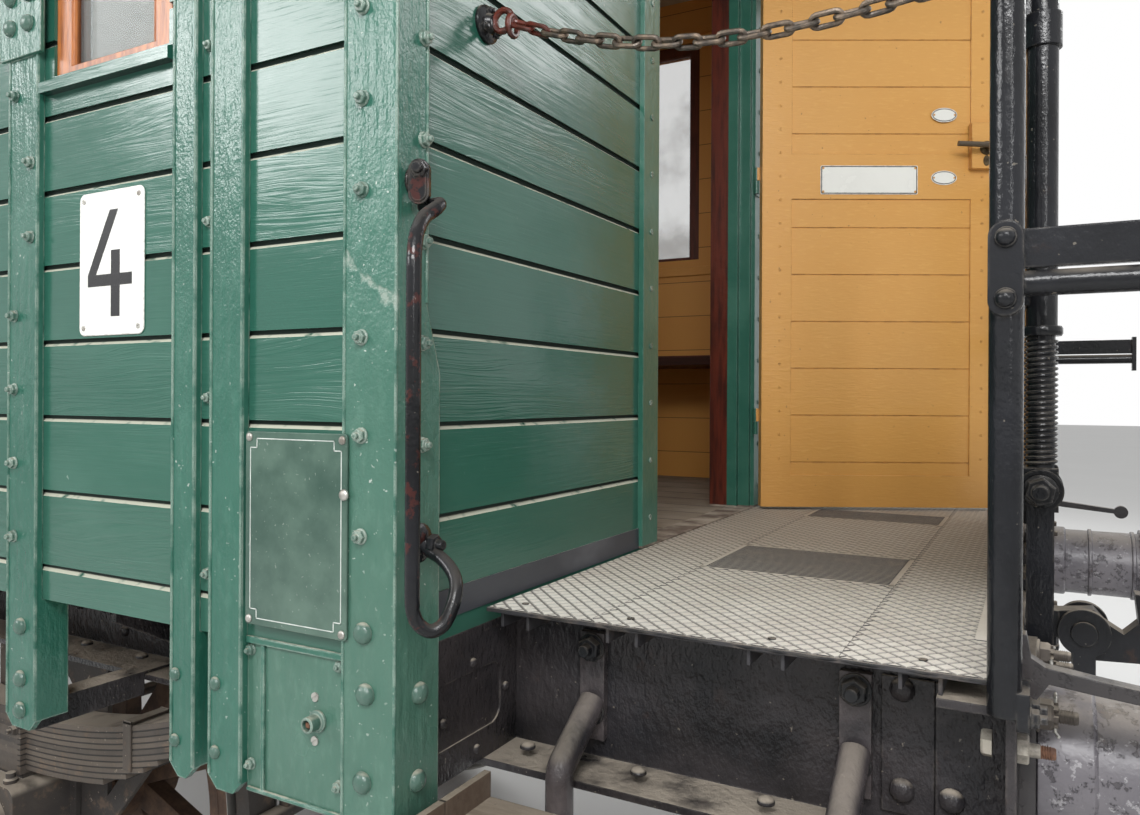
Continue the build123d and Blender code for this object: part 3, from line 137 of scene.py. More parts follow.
class CoachSizes(bpy.types.PropertyGroup):
    """Sizes of the fittings"""

    nut: length_property("Nut", "Width of a body nut across its flats", 0.018)
    bolt: length_property("Bolt", "Diameter of a body bolt", 0.0095)
    coach_bolt: length_property("Domed bolt", "Diameter of a domed bolt head", 0.032)
    screw: length_property("Screw", "Diameter of a slotted screw head", 0.011)
    tread_pitch: length_property("Tread pitch", "Pitch of the raised squares of the platform plate", 0.021)
    chain_wire: length_property("Chain wire", "Diameter of the wire of a chain link", 0.008)
    chain_link: length_property("Chain link", "Length of a chain link outside", 0.050)
    seed: IntProperty(name="Seed", description="Seed of the small differences between nuts", default=7, min=0)


def colours():
    return bpy.context.scene.coach_colours


def sizes():
    return bpy.context.scene.coach_sizes


# Meshes


class Shape:
    """Points and faces of one piece, gathered before they become a mesh."""

    def __init__(self):
        self.points = []
        self.faces = []

    def add(self, part, place=None):
        """Adds (points, faces), moved by a matrix. A mirroring matrix turns the faces round."""
        points, faces = part
        start = len(self.points)
        if place is None:
            self.points += [Vector(p) for p in points]
            flip = False
        else:
            self.points += [place @ Vector(p) for p in points]
            flip = place.determinant() < 0
        for face in faces:
            numbers = [start + i for i in face]
            self.faces.append(numbers[::-1] if flip else numbers)
        return self

    def build(self, name, finish, slot, body="coach", smooth=35, bevel=0):
        """Makes the piece in a finish. The slot argument is not used."""
        mesh = bpy.data.meshes.new(name)
        mesh.from_pydata(self.points, [], self.faces)
        mesh.validate()
        mesh.materials.append(material(finish))
        piece = bpy.data.objects.new(name, mesh)
        bpy.context.collection.objects.link(piece)
        if bevel:
            edge = piece.modifiers.new("edges", "BEVEL")
            edge.width = bevel
            edge.segments = 2
            edge.limit_method = "ANGLE"
            edge.angle_limit = radians(40)
        if smooth:
            mesh.shade_smooth()
            mesh.set_sharp_from_angle(angle=radians(smooth))
        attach(piece, body)
        return piece


def lathe(profile, segments=16, turn=0.0):
    """A turned form about Z from (radius, height) pairs, closed where the radius is 0."""
    points, faces, rings = [], [], []
    for radius, height in profile:
        if radius < 1e-6:
            rings.append([len(points)])
            points.append((0, 0, height))
        else:
            rings.append(list(range(len(points), len(points) + segments)))
            for i in range(segments):
                angle = 2 * pi * i / segments + turn
                points.append((radius * cos(angle), radius * sin(angle), height))
    for first, second in zip(rings, rings[1:]):
        for i in range(segments):
            j = (i + 1) % segments
            a = first[i] if len(first) > 1 else first[0]
            b = first[j] if len(first) > 1 else first[0]
            c = second[j] if len(second) > 1 else second[0]
            d = second[i] if len(second) > 1 else second[0]
            face = [n for k, n in enumerate((a, b, c, d)) if n not in (a, b, c, d)[:k]]
            if len(face) > 2:
                faces.append(face)
    for ring, order in ((rings[0], -1), (rings[-1], 1)):
        if len(ring) > 1:
            faces.append(ring[::order])
    return points, faces


def slab(outline, depth, base=0.0):
    """A plate whose outline lies in XY, from the base up to base + depth."""
    count = len(outline)
    points = [(x, y, base) for x, y in outline] + [(x, y, base + depth) for x, y in outline]
    faces = [list(range(count))[::-1], list(range(count, 2 * count))]
    for i in range(count):
        j = (i + 1) % count
        faces.append([i, j, count + j, count + i])
    return points, faces


def cuboid(x, y, z):
    """A block between the low and high limits on each axis."""
    outline = [(x[0], y[0]), (x[1], y[0]), (x[1], y[1]), (x[0], y[1])]
    return slab(outline, z[1] - z[0], z[0])


def rounded(width, height, radius, steps=5):
    """The outline of a plate with round corners, about its centre."""
    outline = []
    for cx, cy, start in (
        (width / 2 - radius, height / 2 - radius, 0),
        (-width / 2 + radius, height / 2 - radius, 90),
        (-width / 2 + radius, -height / 2 + radius, 180),
        (width / 2 - radius, -height / 2 + radius, 270),
    ):
        for i in range(steps + 1):
            angle = radians(start + 90 * i / steps)
            outline.append((cx + radius * cos(angle), cy + radius * sin(angle)))
    return outline


def oval(width, height, steps=28):
    return [
        (width / 2 * cos(2 * pi * i / steps), height / 2 * sin(2 * pi * i / steps))
        for i in range(steps)
    ]


def tube(path, radius, segments=10, closed=False):
    """A round bar along points. The radius is one number or one for each point."""
    path = [Vector(p) for p in path]
    count = len(path)
    radii = radius if isinstance(radius, (list, tuple)) else [radius] * count
    tangents = []
    for i in range(count):
        before = path[i - 1] if i or closed else path[0]
        after = path[(i + 1) % count] if i < count - 1 or closed else path[-1]
        tangents.append((after - before).normalized())
    side = tangents[0].orthogonal().normalized()
    points, faces = [], []
    for i in range(count):
        side = (side - tangents[i] * side.dot(tangents[i])).normalized()
        up = tangents[i].cross(side)
        for k in range(segments):
            angle = 2 * pi * k / segments
            points.append(path[i] + radii[i] * (cos(angle) * side + sin(angle) * up))
    for i in range(count if closed else count - 1):
        j = (i + 1) % count
        for k in range(segments):
            m = (k + 1) % segments
            faces.append([i * segments + k, i * segments + m, j * segments + m, j * segments + k])
    if not closed:
        faces.append(list(range(segments))[::-1])
        faces.append([(count - 1) * segments + k for k in range(segments)])
    return points, faces


def rounded_path(points, steps=5):
    """More points along a smooth curve through the given ones."""
    points = [Vector(p) for p in points]
    ends = [points[0], *points, points[-1]]
    path = []
    for a, b, c, d in zip(ends, ends[1:], ends[2:], ends[3:]):
        for i in range(steps):
            t = i / steps
            squared = (2 * a - 5 * b + 4 * c - d) * t**2
            cubed = (3 * b - a - 3 * c + d) * t**3
            path.append(0.5 * (2 * b + (c - a) * t + squared + cubed))
    return [*path, points[-1]]


def shifted(x, y, z):
    """The place moved by a step along each axis."""
    return Matrix.Translation((x, y, z))


def turned(angle, axis="Z"):
    """The place turned about an axis through the middle."""
    return Matrix.Rotation(angle, 4, axis)


def facing(point, direction, turn=0.0):
    """The place of a part whose own +Z should look along a direction, with its +Y kept upright."""
    z = Vector(direction).normalized()
    up = Vector((0, 0, 1)) if abs(z.z) < 0.9 else Vector((0, 1, 0))
    x = up.cross(z).normalized()
    y = z.cross(x)
    frame_of_part = Matrix((x, y, z)).transposed().to_4x4()
    return Matrix.Translation(Vector(point)) @ frame_of_part @ turned(turn)


def end_on(x, y, z, turn=0.0):
    """The place of a part that looks out from end a."""
    return facing((x, y, z), (1, 0, 0), turn)


def side_on(side, x, y, z, turn=0.0):
    """The place of a part that looks out from the near or the far side."""
    return facing((x, y, z), (0, side, 0), turn)


def at_corners(point, direction):
    """The same place at each corner of the coach, given at end a on the near side."""
    for end, side in CORNERS:
        yield (
            Vector((point[0] * end, -point[1] * side, point[2])),
            Vector((direction[0] * end, -direction[1] * side, direction[2])),
        )


def corner_matrix(end, side):
    """Mirrors a part drawn at end a, near side, to another corner."""
    return Matrix.Diagonal((end, -side, 1, 1))


MIRRORS = [corner_matrix(end, side) for end, side in CORNERS]


def around(radius, angle, rise):
    """A place on a circle round Z."""
    return shifted(radius * cos(angle), radius * sin(angle), rise)


def helix(radius, start, pitch, count, steps):
    """Points up a thread round Z, with a number of steps to each turn."""
    turns = [2 * pi * i / steps for i in range(count)]
    return [(radius * cos(a), radius * sin(a), start + pitch * a / (2 * pi)) for a in turns]


def levels(first, pitch, top):
    """Heights from the first upwards at one pitch."""
    return [first + pitch * i for i in range(int((top - first) / pitch) + 1)]


def hexagon_nut(flats, bolt, washer=True):
    """A nut on its bolt, with a chamfered top, standing on a washer."""
    shape = Shape()
    across = flats / sqrt(3)
    thick = flats * 0.42
    base = 0.0022 if washer else 0.0
    if washer:
        shape.add(lathe([(flats * 0.66, 0), (flats * 0.66, base * 0.7), (flats * 0.62, base)], 20))
    shape.add(
        lathe(
            [
                (across, base), (across, base + thick * 0.86), (across * 0.88, base + thick),
                (bolt / 2, base + thick),
            ],
            6,
        )
    )
    top = base + thick + bolt * 0.75
    shape.add(
        lathe(
            [(bolt / 2, base + thick * 0.9), (bolt / 2, top - 0.001), (bolt / 2 - 0.001, top), (0, top)], 12
        )
    )
    return shape.points, shape.faces


def domed_head(diameter, rise=0.34):
    """The round head of a coach bolt or rivet."""
    radius = diameter / 2
    profile = [(radius, 0), (radius, diameter * 0.05)]
    for i in range(1, 7):
        angle = pi / 2 * i / 6
        profile.append((radius * cos(angle) if i < 6 else 0, diameter * (0.05 + rise * sin(angle))))
    return lathe(profile, 20)


def slotted_screw(diameter):
    """A flat screw head with a slot across it."""
    radius, depth, half = diameter / 2, diameter * 0.16, diameter * 0.07
    shape = Shape()
    start = asin(half / radius)
    arc = [start + (pi - 2 * start) * i / 10 for i in range(11)]
    for side in (-1, 1):
        outline = [(radius * cos(a), side * radius * sin(a)) for a in arc]
        shape.add(slab(outline[::side], depth))
    shape.add(slab(oval(diameter * 0.98, diameter * 0.98, 20), depth * 0.35))
    return shape.points, shape.faces


# Finishes


class Finish:
    """One material's nodes, added a step at a time."""

    def __init__(self, name, roughness=0.5, metallic=0.0, **sockets):
        self.material = bpy.data.materials.new(name)
        self.material.use_nodes = True
        self.nodes = self.material.node_tree.nodes
        self.links = self.material.node_tree.links
        self.surface = self.nodes["Principled BSDF"]
        self.surface.inputs["Roughness"].default_value = roughness
        self.surface.inputs["Metallic"].default_value = metallic
        for socket, value in sockets.items():
            self.surface.inputs[socket.replace("_", " ")].default_value = value
        texture = self.nodes.new("ShaderNodeTexCoord")
        self.place = texture.outputs["Object"]
        self.normal = texture.outputs["Normal"]
        self.x, self.y, self.z = self.split(self.place)
        self.up = self.split(self.normal)[2]
        self.paint = None

    def feed(self, socket, value):
        if isinstance(value, bpy.types.NodeSocket):
            self.links.new(value, socket)
        else:
            socket.default_value = value

    def node(self, kind, inputs=None, **settings):
        node = self.nodes.new(kind)
        for name, value in settings.items():
            setattr(node, name, value)
        for key, value in (inputs or {}).items():
            self.feed(node.inputs[key], value)
        return node

    def split(self, vector):
        return self.node("ShaderNodeSeparateXYZ", {0: vector}).outputs[:3]

    def join(self, x, y, z):
        return self.node("ShaderNodeCombineXYZ", {0: x, 1: y, 2: z}).outputs[0]

    def math(self, operation, first, second=0.0, third=0.0):
        return self.node("ShaderNodeMath", {0: first, 1: second, 2: third}, operation=operation).outputs[0]

    def stretched(self, scale):
        return self.node("ShaderNodeVectorMath", {0: self.place, 1: scale}, operation="MULTIPLY").outputs[0]

    def noise(self, scale, stretch=(1, 1, 1), detail=3.0, roughness=0.55, vector=None):
        vector = vector or self.stretched(stretch)
        return self.node(
            "ShaderNodeTexNoise", {"Vector": vector, "Scale": scale, "Detail": detail, "Roughness": roughness}
        ).outputs["Fac"]

    def ramp(self, value, start, end):
        """0 below the start and 1 above the end, or the other way round if the end is lower."""
        return self.node(
            "ShaderNodeMapRange",
            {"Value": value, "From Min": start, "From Max": end, "To Min": 0.0, "To Max": 1.0},
            interpolation_type="SMOOTHSTEP",
        ).outputs[0]

    def scaled(self, value, factor):
        return self.math("MULTIPLY", value, factor)

    def plus(self, first, second):
        return self.math("ADD", first, second)

    def minus(self, first, second):
        return self.math("SUBTRACT", first, second)

    def size(self, value):
        return self.math("ABSOLUTE", value)

    def dot(self, first, second):
        return self.node(
            "ShaderNodeVectorMath", {0: first, 1: second}, operation="DOT_PRODUCT"
        ).outputs["Value"]

    def chance(self, number):
        """A number from 0 to 1 that differs from board to board."""
        return self.node("ShaderNodeTexWhiteNoise", {"W": number}, noise_dimensions="1D").outputs["Value"]

    def blotches(self, scale, detail, start, end):
        return self.ramp(self.noise(scale, detail=detail), start, end)

    def both(self, first, second):
        return self.math("MULTIPLY", first, second)

    def most(self, first, second):
        return self.math("MAXIMUM", first, second)

    def mix(self, share, first, second):
        node = self.node("ShaderNodeMix", data_type="RGBA")
        self.feed(node.inputs[0], share)
        for socket, value in ((node.inputs[6], first), (node.inputs[7], second)):
            self.feed(socket, value if isinstance(value, bpy.types.NodeSocket) else (*value[:3], 1))
        return node.outputs[2]

    def over(self, paint, mask, share, colour):
        """The paint with a share of another colour over it where the mask is 1."""
        return self.mix(self.scaled(mask, share), paint, colour)

    def coat(self, mask, share, colour):
        """Lays a share of another colour over the paint where the mask is 1."""
        self.paint = self.over(self.paint, mask, share, colour)

    def value_mix(self, share, first, second):
        node = self.node("ShaderNodeMix", data_type="FLOAT")
        for socket, value in zip((node.inputs[0], node.inputs[2], node.inputs[3]), (share, first, second)):
            self.feed(socket, value)
        return node.outputs[0]

    def edge(self, radius=0.006):
        """How near a surface point is to a sharp edge, from 0 to 1."""
        soft = self.node("ShaderNodeBevel", {"Radius": radius}, samples=4).outputs[0]
        flat = self.node("ShaderNodeNewGeometry").outputs["Normal"]
        return self.ramp(self.dot(soft, flat), 0.995, 0.90)

    def finish(self, roughness=None, heights=(), soften=0.0):
        """Gives the surface its paint, the roughness and a stack of (height, distance) bumps."""
        self.feed(self.surface.inputs["Base Color"], self.paint)
        if roughness is not None:
            self.feed(self.surface.inputs["Roughness"], roughness)
        normal = None
        if soften:
            normal = self.node("ShaderNodeBevel", {"Radius": soften}, samples=4).outputs[0]
        for height, distance in heights:
            bump = self.node("ShaderNodeBump", {"Height": height, "Distance": distance, "Strength": 1.0})
            if normal is not None:
                self.feed(bump.inputs["Normal"], normal)
            normal = bump.outputs[0]
        if normal is not None:
            self.feed(self.surface.inputs["Normal"], normal)
        return self.material


def board_number(f, first_up=FIRST_GROOVE_UP, pitch=BOARD_PITCH):
    """Which board of the wall a point lies on, as a whole number."""
    share = f.math("DIVIDE", f.minus(f.z, DECK + first_up), pitch)
    return f.math("FLOOR", share)


def grain(f, along, offset):
    """Uneven grain lines along one axis, swayed into long arches, with an offset for each board."""
    x, y = (f.x, f.y) if along == "x" else (f.y, f.x)
    far = f.scaled(offset, 3.17)
    vector = f.join(f.plus(f.scaled(x, 1.1), far), f.scaled(y, 1.0), f.scaled(f.z, 8.0))
    bend = f.noise(1.0, vector=vector, detail=2.0)
    across = f.plus(f.scaled(f.z, 190.0), f.scaled(bend, 26.0))
    lines = f.join(f.plus(f.scaled(x, 2.0), far), 0.0, across)
    return f.ramp(f.noise(1.0, vector=lines, detail=3, roughness=0.6), 0.40, 0.62)


def green_boards(name, along):
    """Gloss green boards outside, and ochre boards on the inner face."""
    c = colours()
    f = Finish(name, roughness=0.2)
    number = board_number(f)
    chance = f.chance(number)
    ridges = grain(f, along, number)
    broad = f.noise(2.2, stretch=(1, 1, 2), detail=4)
    fine = f.noise(60, detail=4)
    along_board = (0.25, 1, 6) if along == "x" else (1, 0.25, 6)
    strokes = f.noise(30, stretch=along_board, detail=3)
    dents = f.noise(7, stretch=(1, 1, 1.6), detail=2)
    deep = f.mix(0.35, c.body, (0.012, 0.030, 0.022))
    f.paint = f.over(c.body, chance, 0.35, deep)
    f.coat(f.ramp(broad, 0.45, 0.72), 0.16, c.body_light)
    # Grain shows through the paint in long patches, which differ from board to board
    far = f.scaled(number, 7.3)
    patch_place = f.join(f.plus(f.scaled(f.x if along == "x" else f.y, 1.3), far), far, f.scaled(f.z, 2.0))
    patches = f.ramp(f.noise(1.0, vector=patch_place, detail=3), 0.44, 0.66)
    shown = f.plus(0.12, f.scaled(patches, 0.88))
    f.coat(f.both(ridges, shown), 0.10, c.body_light)
    flecks = f.both(f.ramp(fine, 0.70, 0.76), f.ramp(broad, 0.50, 0.62))
    f.coat(flecks, 0.3, tone(176, 196, 184))
    # Paler towards the foot of the wall: splashes of dirt, and painted light on the lower boards
    low_splash_and_light = f.ramp(f.z, DECK + 0.50, DECK)
    f.coat(low_splash_and_light, 0.035, tone(188, 190, 180))
    # Pale dust and a painted highlight on the lower edge of each groove, which faces up
    lip_dust_and_highlight = f.both(f.ramp(f.up, 0.35, 0.6), f.blotches(35, 2, 0.25, 0.45))
    f.coat(lip_dust_and_highlight, 0.85, tone(196, 196, 178))
    # Painted shade: faces that look down are darkened almost to black
    under = f.ramp(f.up, -0.4, -0.8)
    f.coat(under, 0.8, (0.004, 0.006, 0.005))
    distance = f.size(f.y if along == "x" else f.x)
    face = BOARD_Y if along == "x" else BOARD_X
    # Painted shade inside each groove: its walls are darkened almost to black
    groove_shade = f.both(
        f.ramp(distance, face - 0.0055, face - 0.0075), f.ramp(distance, face - 0.016, face - 0.012)
    )
    f.coat(groove_shade, 0.88, (0.006, 0.009, 0.008))
    inner = f.ramp(distance, face - 0.0150, face - 0.0152)
    board = board_number(f, 0.107, 0.147)
    near_line = f.math("FRACT", f.math("DIVIDE", f.minus(f.z, DECK + 0.107), 0.147))
    line = f.ramp(near_line, 0.024, 0.014)
    tint = f.chance(board)
    ochre = f.over(c.ochre, tint, 0.3, tone(204, 142, 64))
    ochre = f.over(ochre, line, 0.85, tone(74, 44, 22))
    f.paint = f.mix(inner, f.paint, ochre)
    rough = f.plus(0.13, f.scaled(f.ramp(broad, 0.3, 0.7), 0.10))
    if along == "y":
        kick = f.both(
            f.ramp(distance, BOARD_X + 0.0004, BOARD_X + 0.0008), f.ramp(f.z, DECK + 0.06, DECK + 0.055)
        )
        scuffed = f.mix(f.ramp(broad, 0.4, 0.7), tone(58, 60, 66), tone(112, 114, 120))
        f.paint = f.mix(kick, f.paint, scuffed)
        rough = f.value_mix(kick, rough, 0.45)
    rough = f.value_mix(lip_dust_and_highlight, rough, 0.85)
    rough = f.value_mix(groove_shade, rough, 0.9)
    rough = f.value_mix(inner, rough, 0.4)
    outside = f.minus(1.0, f.scaled(inner, 0.7))
    relief = f.both(f.both(ridges, shown), outside)
    return f.finish(rough, [(dents, 0.0016), (relief, 0.00024), (strokes, 0.00035), (fine, 0.00008)])


def painted_steel(name, colour, light, haze_and_sheen=0.0):
    """Thick gloss paint brushed over steel: hammered, with pale chips along the edges."""
    f = Finish(name, roughness=0.3)
    broad = f.noise(3.0, detail=4)
    daubs = f.noise(48, stretch=(1, 1, 0.45), detail=3, roughness=0.6)
    fine = f.noise(190, detail=3)
    drips = f.noise(24, stretch=(3.0, 3.0, 0.14), detail=2)
    f.paint = f.over(colour, f.ramp(broad, 0.35, 0.75), 0.30, light)
    f.coat(f.ramp(daubs, 0.5, 0.75), 0.25, light)
    if haze_and_sheen:
        # Paler and greyer towards the foot: dust there, with a painted sheen
        low = f.ramp(f.z, DECK + 0.75, DECK - 0.05)
        f.coat(f.both(low, f.plus(0.6, f.scaled(daubs, 0.8))), haze_and_sheen, tone(188, 184, 170))
    wear = f.both(f.edge(0.005), f.blotches(26, 4, 0.30, 0.62))
    f.coat(wear, 0.75, tone(178, 192, 180))
    specks = f.both(f.blotches(120, 2, 0.70, 0.74), f.ramp(broad, 0.45, 0.6))
    f.coat(specks, 0.6, tone(205, 212, 204))
    dusty = f.both(f.ramp(f.up, 0.6, 0.9), f.blotches(20, 3, 0.3, 0.5))
    f.coat(dusty, 0.7, tone(176, 172, 156))
    # The long scrape across the outer leg of the corner post at end a
    fall = f.plus(f.minus(f.z, DECK + 0.540), f.scaled(f.minus(f.x, END_X - 0.095), 0.707))
    wide = f.scaled(f.blotches(24, 4, 0.30, 0.75), 0.022)
    scrape = f.ramp(f.minus(f.size(fall), wide), 0.002, -0.006)
    scrape = f.both(scrape, f.plus(0.35, f.scaled(f.blotches(110, 3, 0.42, 0.58), 0.65)))
    scrape = f.both(
        scrape, f.both(f.ramp(f.x, END_X - 0.097, END_X - 0.090), f.ramp(f.y, 0.01 - SIDE_Y, -SIDE_Y))
    )
    f.coat(scrape, 0.55, tone(170, 178, 168))
    rough = f.plus(0.17, f.scaled(f.ramp(broad, 0.3, 0.7), 0.12))
    rough = f.value_mix(scrape, rough, 0.6)
    return f.finish(
        rough, [(daubs, 0.0024), (drips, 0.0012), (fine, 0.0007), (scrape, -0.0006)], soften=0.003
    )


def ochre_paint(name, direction=None, pivot=None):
    """Ochre paint over boards. A door has green on the face that looks out."""
    c = colours()
    f = Finish(name, roughness=0.3)
    broad = f.noise(2.6, detail=4)
    strokes = f.noise(34, stretch=(1, 1, 5), detail=3)
    fine = f.noise(110, detail=3)
    f.paint = f.over(c.ochre, f.ramp(broad, 0.35, 0.7), 0.35, tone(206, 146, 66))
    f.coat(f.ramp(strokes, 0.5, 0.8), 0.25, tone(234, 186, 108))
    foot = f.both(f.ramp(f.z, DECK + 0.40, DECK - 0.05), f.plus(0.5, f.scaled(f.noise(9, detail=4), 0.5)))
    f.coat(foot, 0.4, tone(160, 112, 56))
    wear = f.both(f.edge(0.004), f.blotches(22, 3, 0.45, 0.65))
    f.coat(wear, 0.5, tone(120, 78, 40))
    specks = f.blotches(75, 2, 0.735, 0.76)
    f.coat(specks, 0.5, tone(120, 82, 44))
    if direction is not None:
        looks_out = f.dot(f.normal, direction)
        green = f.over(c.body, f.ramp(broad, 0.35, 0.7), 0.35, c.body_light)
        # The levers stand out from the lock block on both sides, away from the hinge
        hinge, out = pivot
        place = f.node("ShaderNodeVectorMath", {0: f.place, 1: hinge}, operation="SUBTRACT").outputs[0]
        depth = f.dot(place, out)
        reach = f.dot(place, (out[1], -out[0], 0))
        lever = f.most(f.ramp(depth, -0.0735, -0.0740), f.ramp(depth, -0.0027, -0.0022))
        lever = f.both(lever, f.ramp(f.size(reach), 0.40, 0.41))
        hinges = f.both(f.ramp(depth, -0.0088, -0.0085), f.ramp(f.size(reach), 0.08, 0.07))
        f.paint = f.mix(f.most(hinges, f.ramp(looks_out, 0.45, 0.55)), f.paint, green)
        f.paint = f.mix(lever, f.paint, tone(78, 66, 50))
    return f.finish(f.plus(0.24, f.scaled(broad, 0.2)), [(strokes, 0.0008), (fine, 0.0002)], soften=0.002)


def wood(name, colour, dark, roughness, along="x", inner=None):
    """Oiled or varnished wood with long grain. The inner colour shows nearer the middle of the coach."""
    f = Finish(name, roughness=roughness)
    stretch = {"x": (1, 9, 9), "y": (9, 1, 9), "z": (9, 9, 1)}[along]
    long_grain = f.noise(9, stretch=stretch, detail=6, roughness=0.65)
    pores = f.noise(60, stretch=stretch, detail=3)
    broad = f.noise(3, detail=3)
    f.paint = f.mix(f.ramp(long_grain, 0.35, 0.68), colour, dark)
    if inner is not None:
        distance = f.size(f.y)
        shade = f.mix(f.ramp(long_grain, 0.35, 0.68), inner, [v * 0.5 for v in inner])
        f.paint = f.mix(f.ramp(distance, BOARD_Y - 0.020, BOARD_Y - 0.024), f.paint, shade)
    f.coat(f.ramp(broad, 0.45, 0.7), 0.25, dark)
    return f.finish(
        f.plus(roughness * 0.8, f.scaled(pores, roughness * 0.5)), [(long_grain, 0.0006), (pores, 0.0002)],
        soften=0.002,
    )


def weathered_planks(name, pitch, along):
    """Trodden planks, grey with dust and dark between them."""
    c = colours()
    f = Finish(name, roughness=0.85)
    across = f.y if along == "x" else f.x
    share = f.math("DIVIDE", across, pitch)
    number = f.math("FLOOR", share)
    chance = f.chance(number)
    gap = f.most(f.ramp(f.math("FRACT", share), 0.025, 0.010), f.ramp(f.math("FRACT", share), 0.975, 0.99))
    stretch = (1, 8, 8) if along == "x" else (8, 1, 8)
    long_grain = f.noise(8, stretch=stretch, detail=6, roughness=0.7)
    grit = f.noise(85, detail=4)
    f.paint = f.mix(f.ramp(long_grain, 0.35, 0.7), c.weathered, tone(108, 94, 78))
    f.coat(chance, 0.35, tone(120, 110, 98))
    # Painted shade: faces that do not look up are darker brown
    sides = f.ramp(f.up, 0.7, 0.5)
    f.coat(sides, 0.75, tone(76, 58, 46))
    f.coat(f.both(f.ramp(f.up, 0.7, 0.9), f.blotches(5, 4, 0.35, 0.7)), 0.55, c.dust)
    f.coat(f.ramp(grit, 0.68, 0.74), 0.6, tone(62, 52, 44))
    f.coat(f.both(gap, f.ramp(f.up, 0.7, 0.9)), 0.9, (0.01, 0.008, 0.006))
    height = f.minus(long_grain, f.scaled(gap, 2.0))
    return f.finish(0.85, [(height, 0.0012), (grit, 0.0008)], soften=0.003)


def black_iron(name, gloss, dust_share=0.5, rust_share=0.4, primer_share=0.0, grit=0.0004, haze_and_sheen=0.0):
    """Black paint on forged iron, with dust on top faces, rust in patches and primer at its chips."""
    c = colours()
    f = Finish(name, roughness=gloss, Specular_IOR_Level=0.28)
    broad = f.noise(4.5, detail=5)
    patches = f.noise(17, detail=5, roughness=0.65)
    lumps = f.noise(80, stretch=(1, 1, 0.6), detail=3, roughness=0.65)
    f.paint = f.mix(f.ramp(broad, 0.3, 0.75), [v * 0.55 for v in c.black], tone(36, 37, 41))
    rust = f.both(f.ramp(patches, 0.60, 0.72), f.ramp(broad, 0.40, 0.65))
    f.coat(rust, rust_share, tone(86, 60, 44))
    if primer_share:
        chipped = f.ramp(f.noise(30, detail=5, roughness=0.7), 0.56, 0.62)
        f.coat(chipped, primer_share, c.primer)
    wear = f.both(f.edge(0.005), f.blotches(40, 3, 0.4, 0.65))
    f.coat(wear, 0.35, tone(128, 122, 114))
    if haze_and_sheen:
        # A reddish-grey haze in blotches; on the underframe it stands partly for a painted sheen
        f.coat(f.blotches(6, 4, 0.3, 0.7), haze_and_sheen, tone(128, 118, 118))
    top = f.both(f.ramp(f.up, 0.35, 0.85), f.blotches(14, 4, 0.22, 0.55))
    f.coat(top, dust_share, c.dust)
    specks = f.blotches(95, 2, 0.71, 0.75)
    f.coat(specks, 0.4, tone(150, 142, 130))
    rough = f.value_mix(top, f.plus(gloss * 0.8, f.scaled(patches, gloss * 0.5)), 0.9)
    return f.finish(rough, [(patches, 0.0014), (lumps, grit * 2.5)], soften=0.003)


def peeling_grey(name):
    """Old grey paint on the buffer housings, flaked in patches down to dark primer."""
    f = Finish(name, roughness=0.4)
    broad = f.noise(3.0, detail=4)
    flakes = f.noise(38, detail=6, roughness=0.75)
    fine = f.noise(150, detail=3)
    grey = f.mix(f.ramp(broad, 0.35, 0.7), tone(92, 90, 96), tone(122, 118, 122))
    gone = f.ramp(flakes, 0.54, 0.58)
    f.paint = f.over(grey, gone, 0.7, tone(54, 50, 54))
    # Painted glints: small pale flecks over the grey paint
    bright = f.ramp(f.noise(62, detail=5, roughness=0.7), 0.60, 0.64)
    f.coat(bright, 0.6, tone(172, 170, 172))
    rust = f.both(f.ramp(flakes, 0.64, 0.70), f.ramp(broad, 0.4, 0.6))
    f.coat(rust, 0.6, tone(104, 70, 50))
    # The flange and the arm over the housing are black
    away = [f.minus(f.size(f.y), BUFFER_Y), f.minus(f.z, BUFFER_Z)]
    square = f.plus(f.both(away[0], away[0]), f.both(away[1], away[1]))
    f.paint = f.mix(
        f.ramp(square, 0.0122, 0.0124), f.paint,
        f.mix(f.ramp(broad, 0.35, 0.7), tone(34, 33, 36), tone(60, 56, 56)),
    )
    top = f.both(f.ramp(f.up, 0.5, 0.95), f.blotches(14, 4, 0.25, 0.55))
    f.coat(top, 0.5, colours().dust)
    return f.finish(
        f.plus(0.22, f.scaled(flakes, 0.3)), [(gone, -0.0006), (fine, 0.0006), (broad, 0.002)], soften=0.003
    )


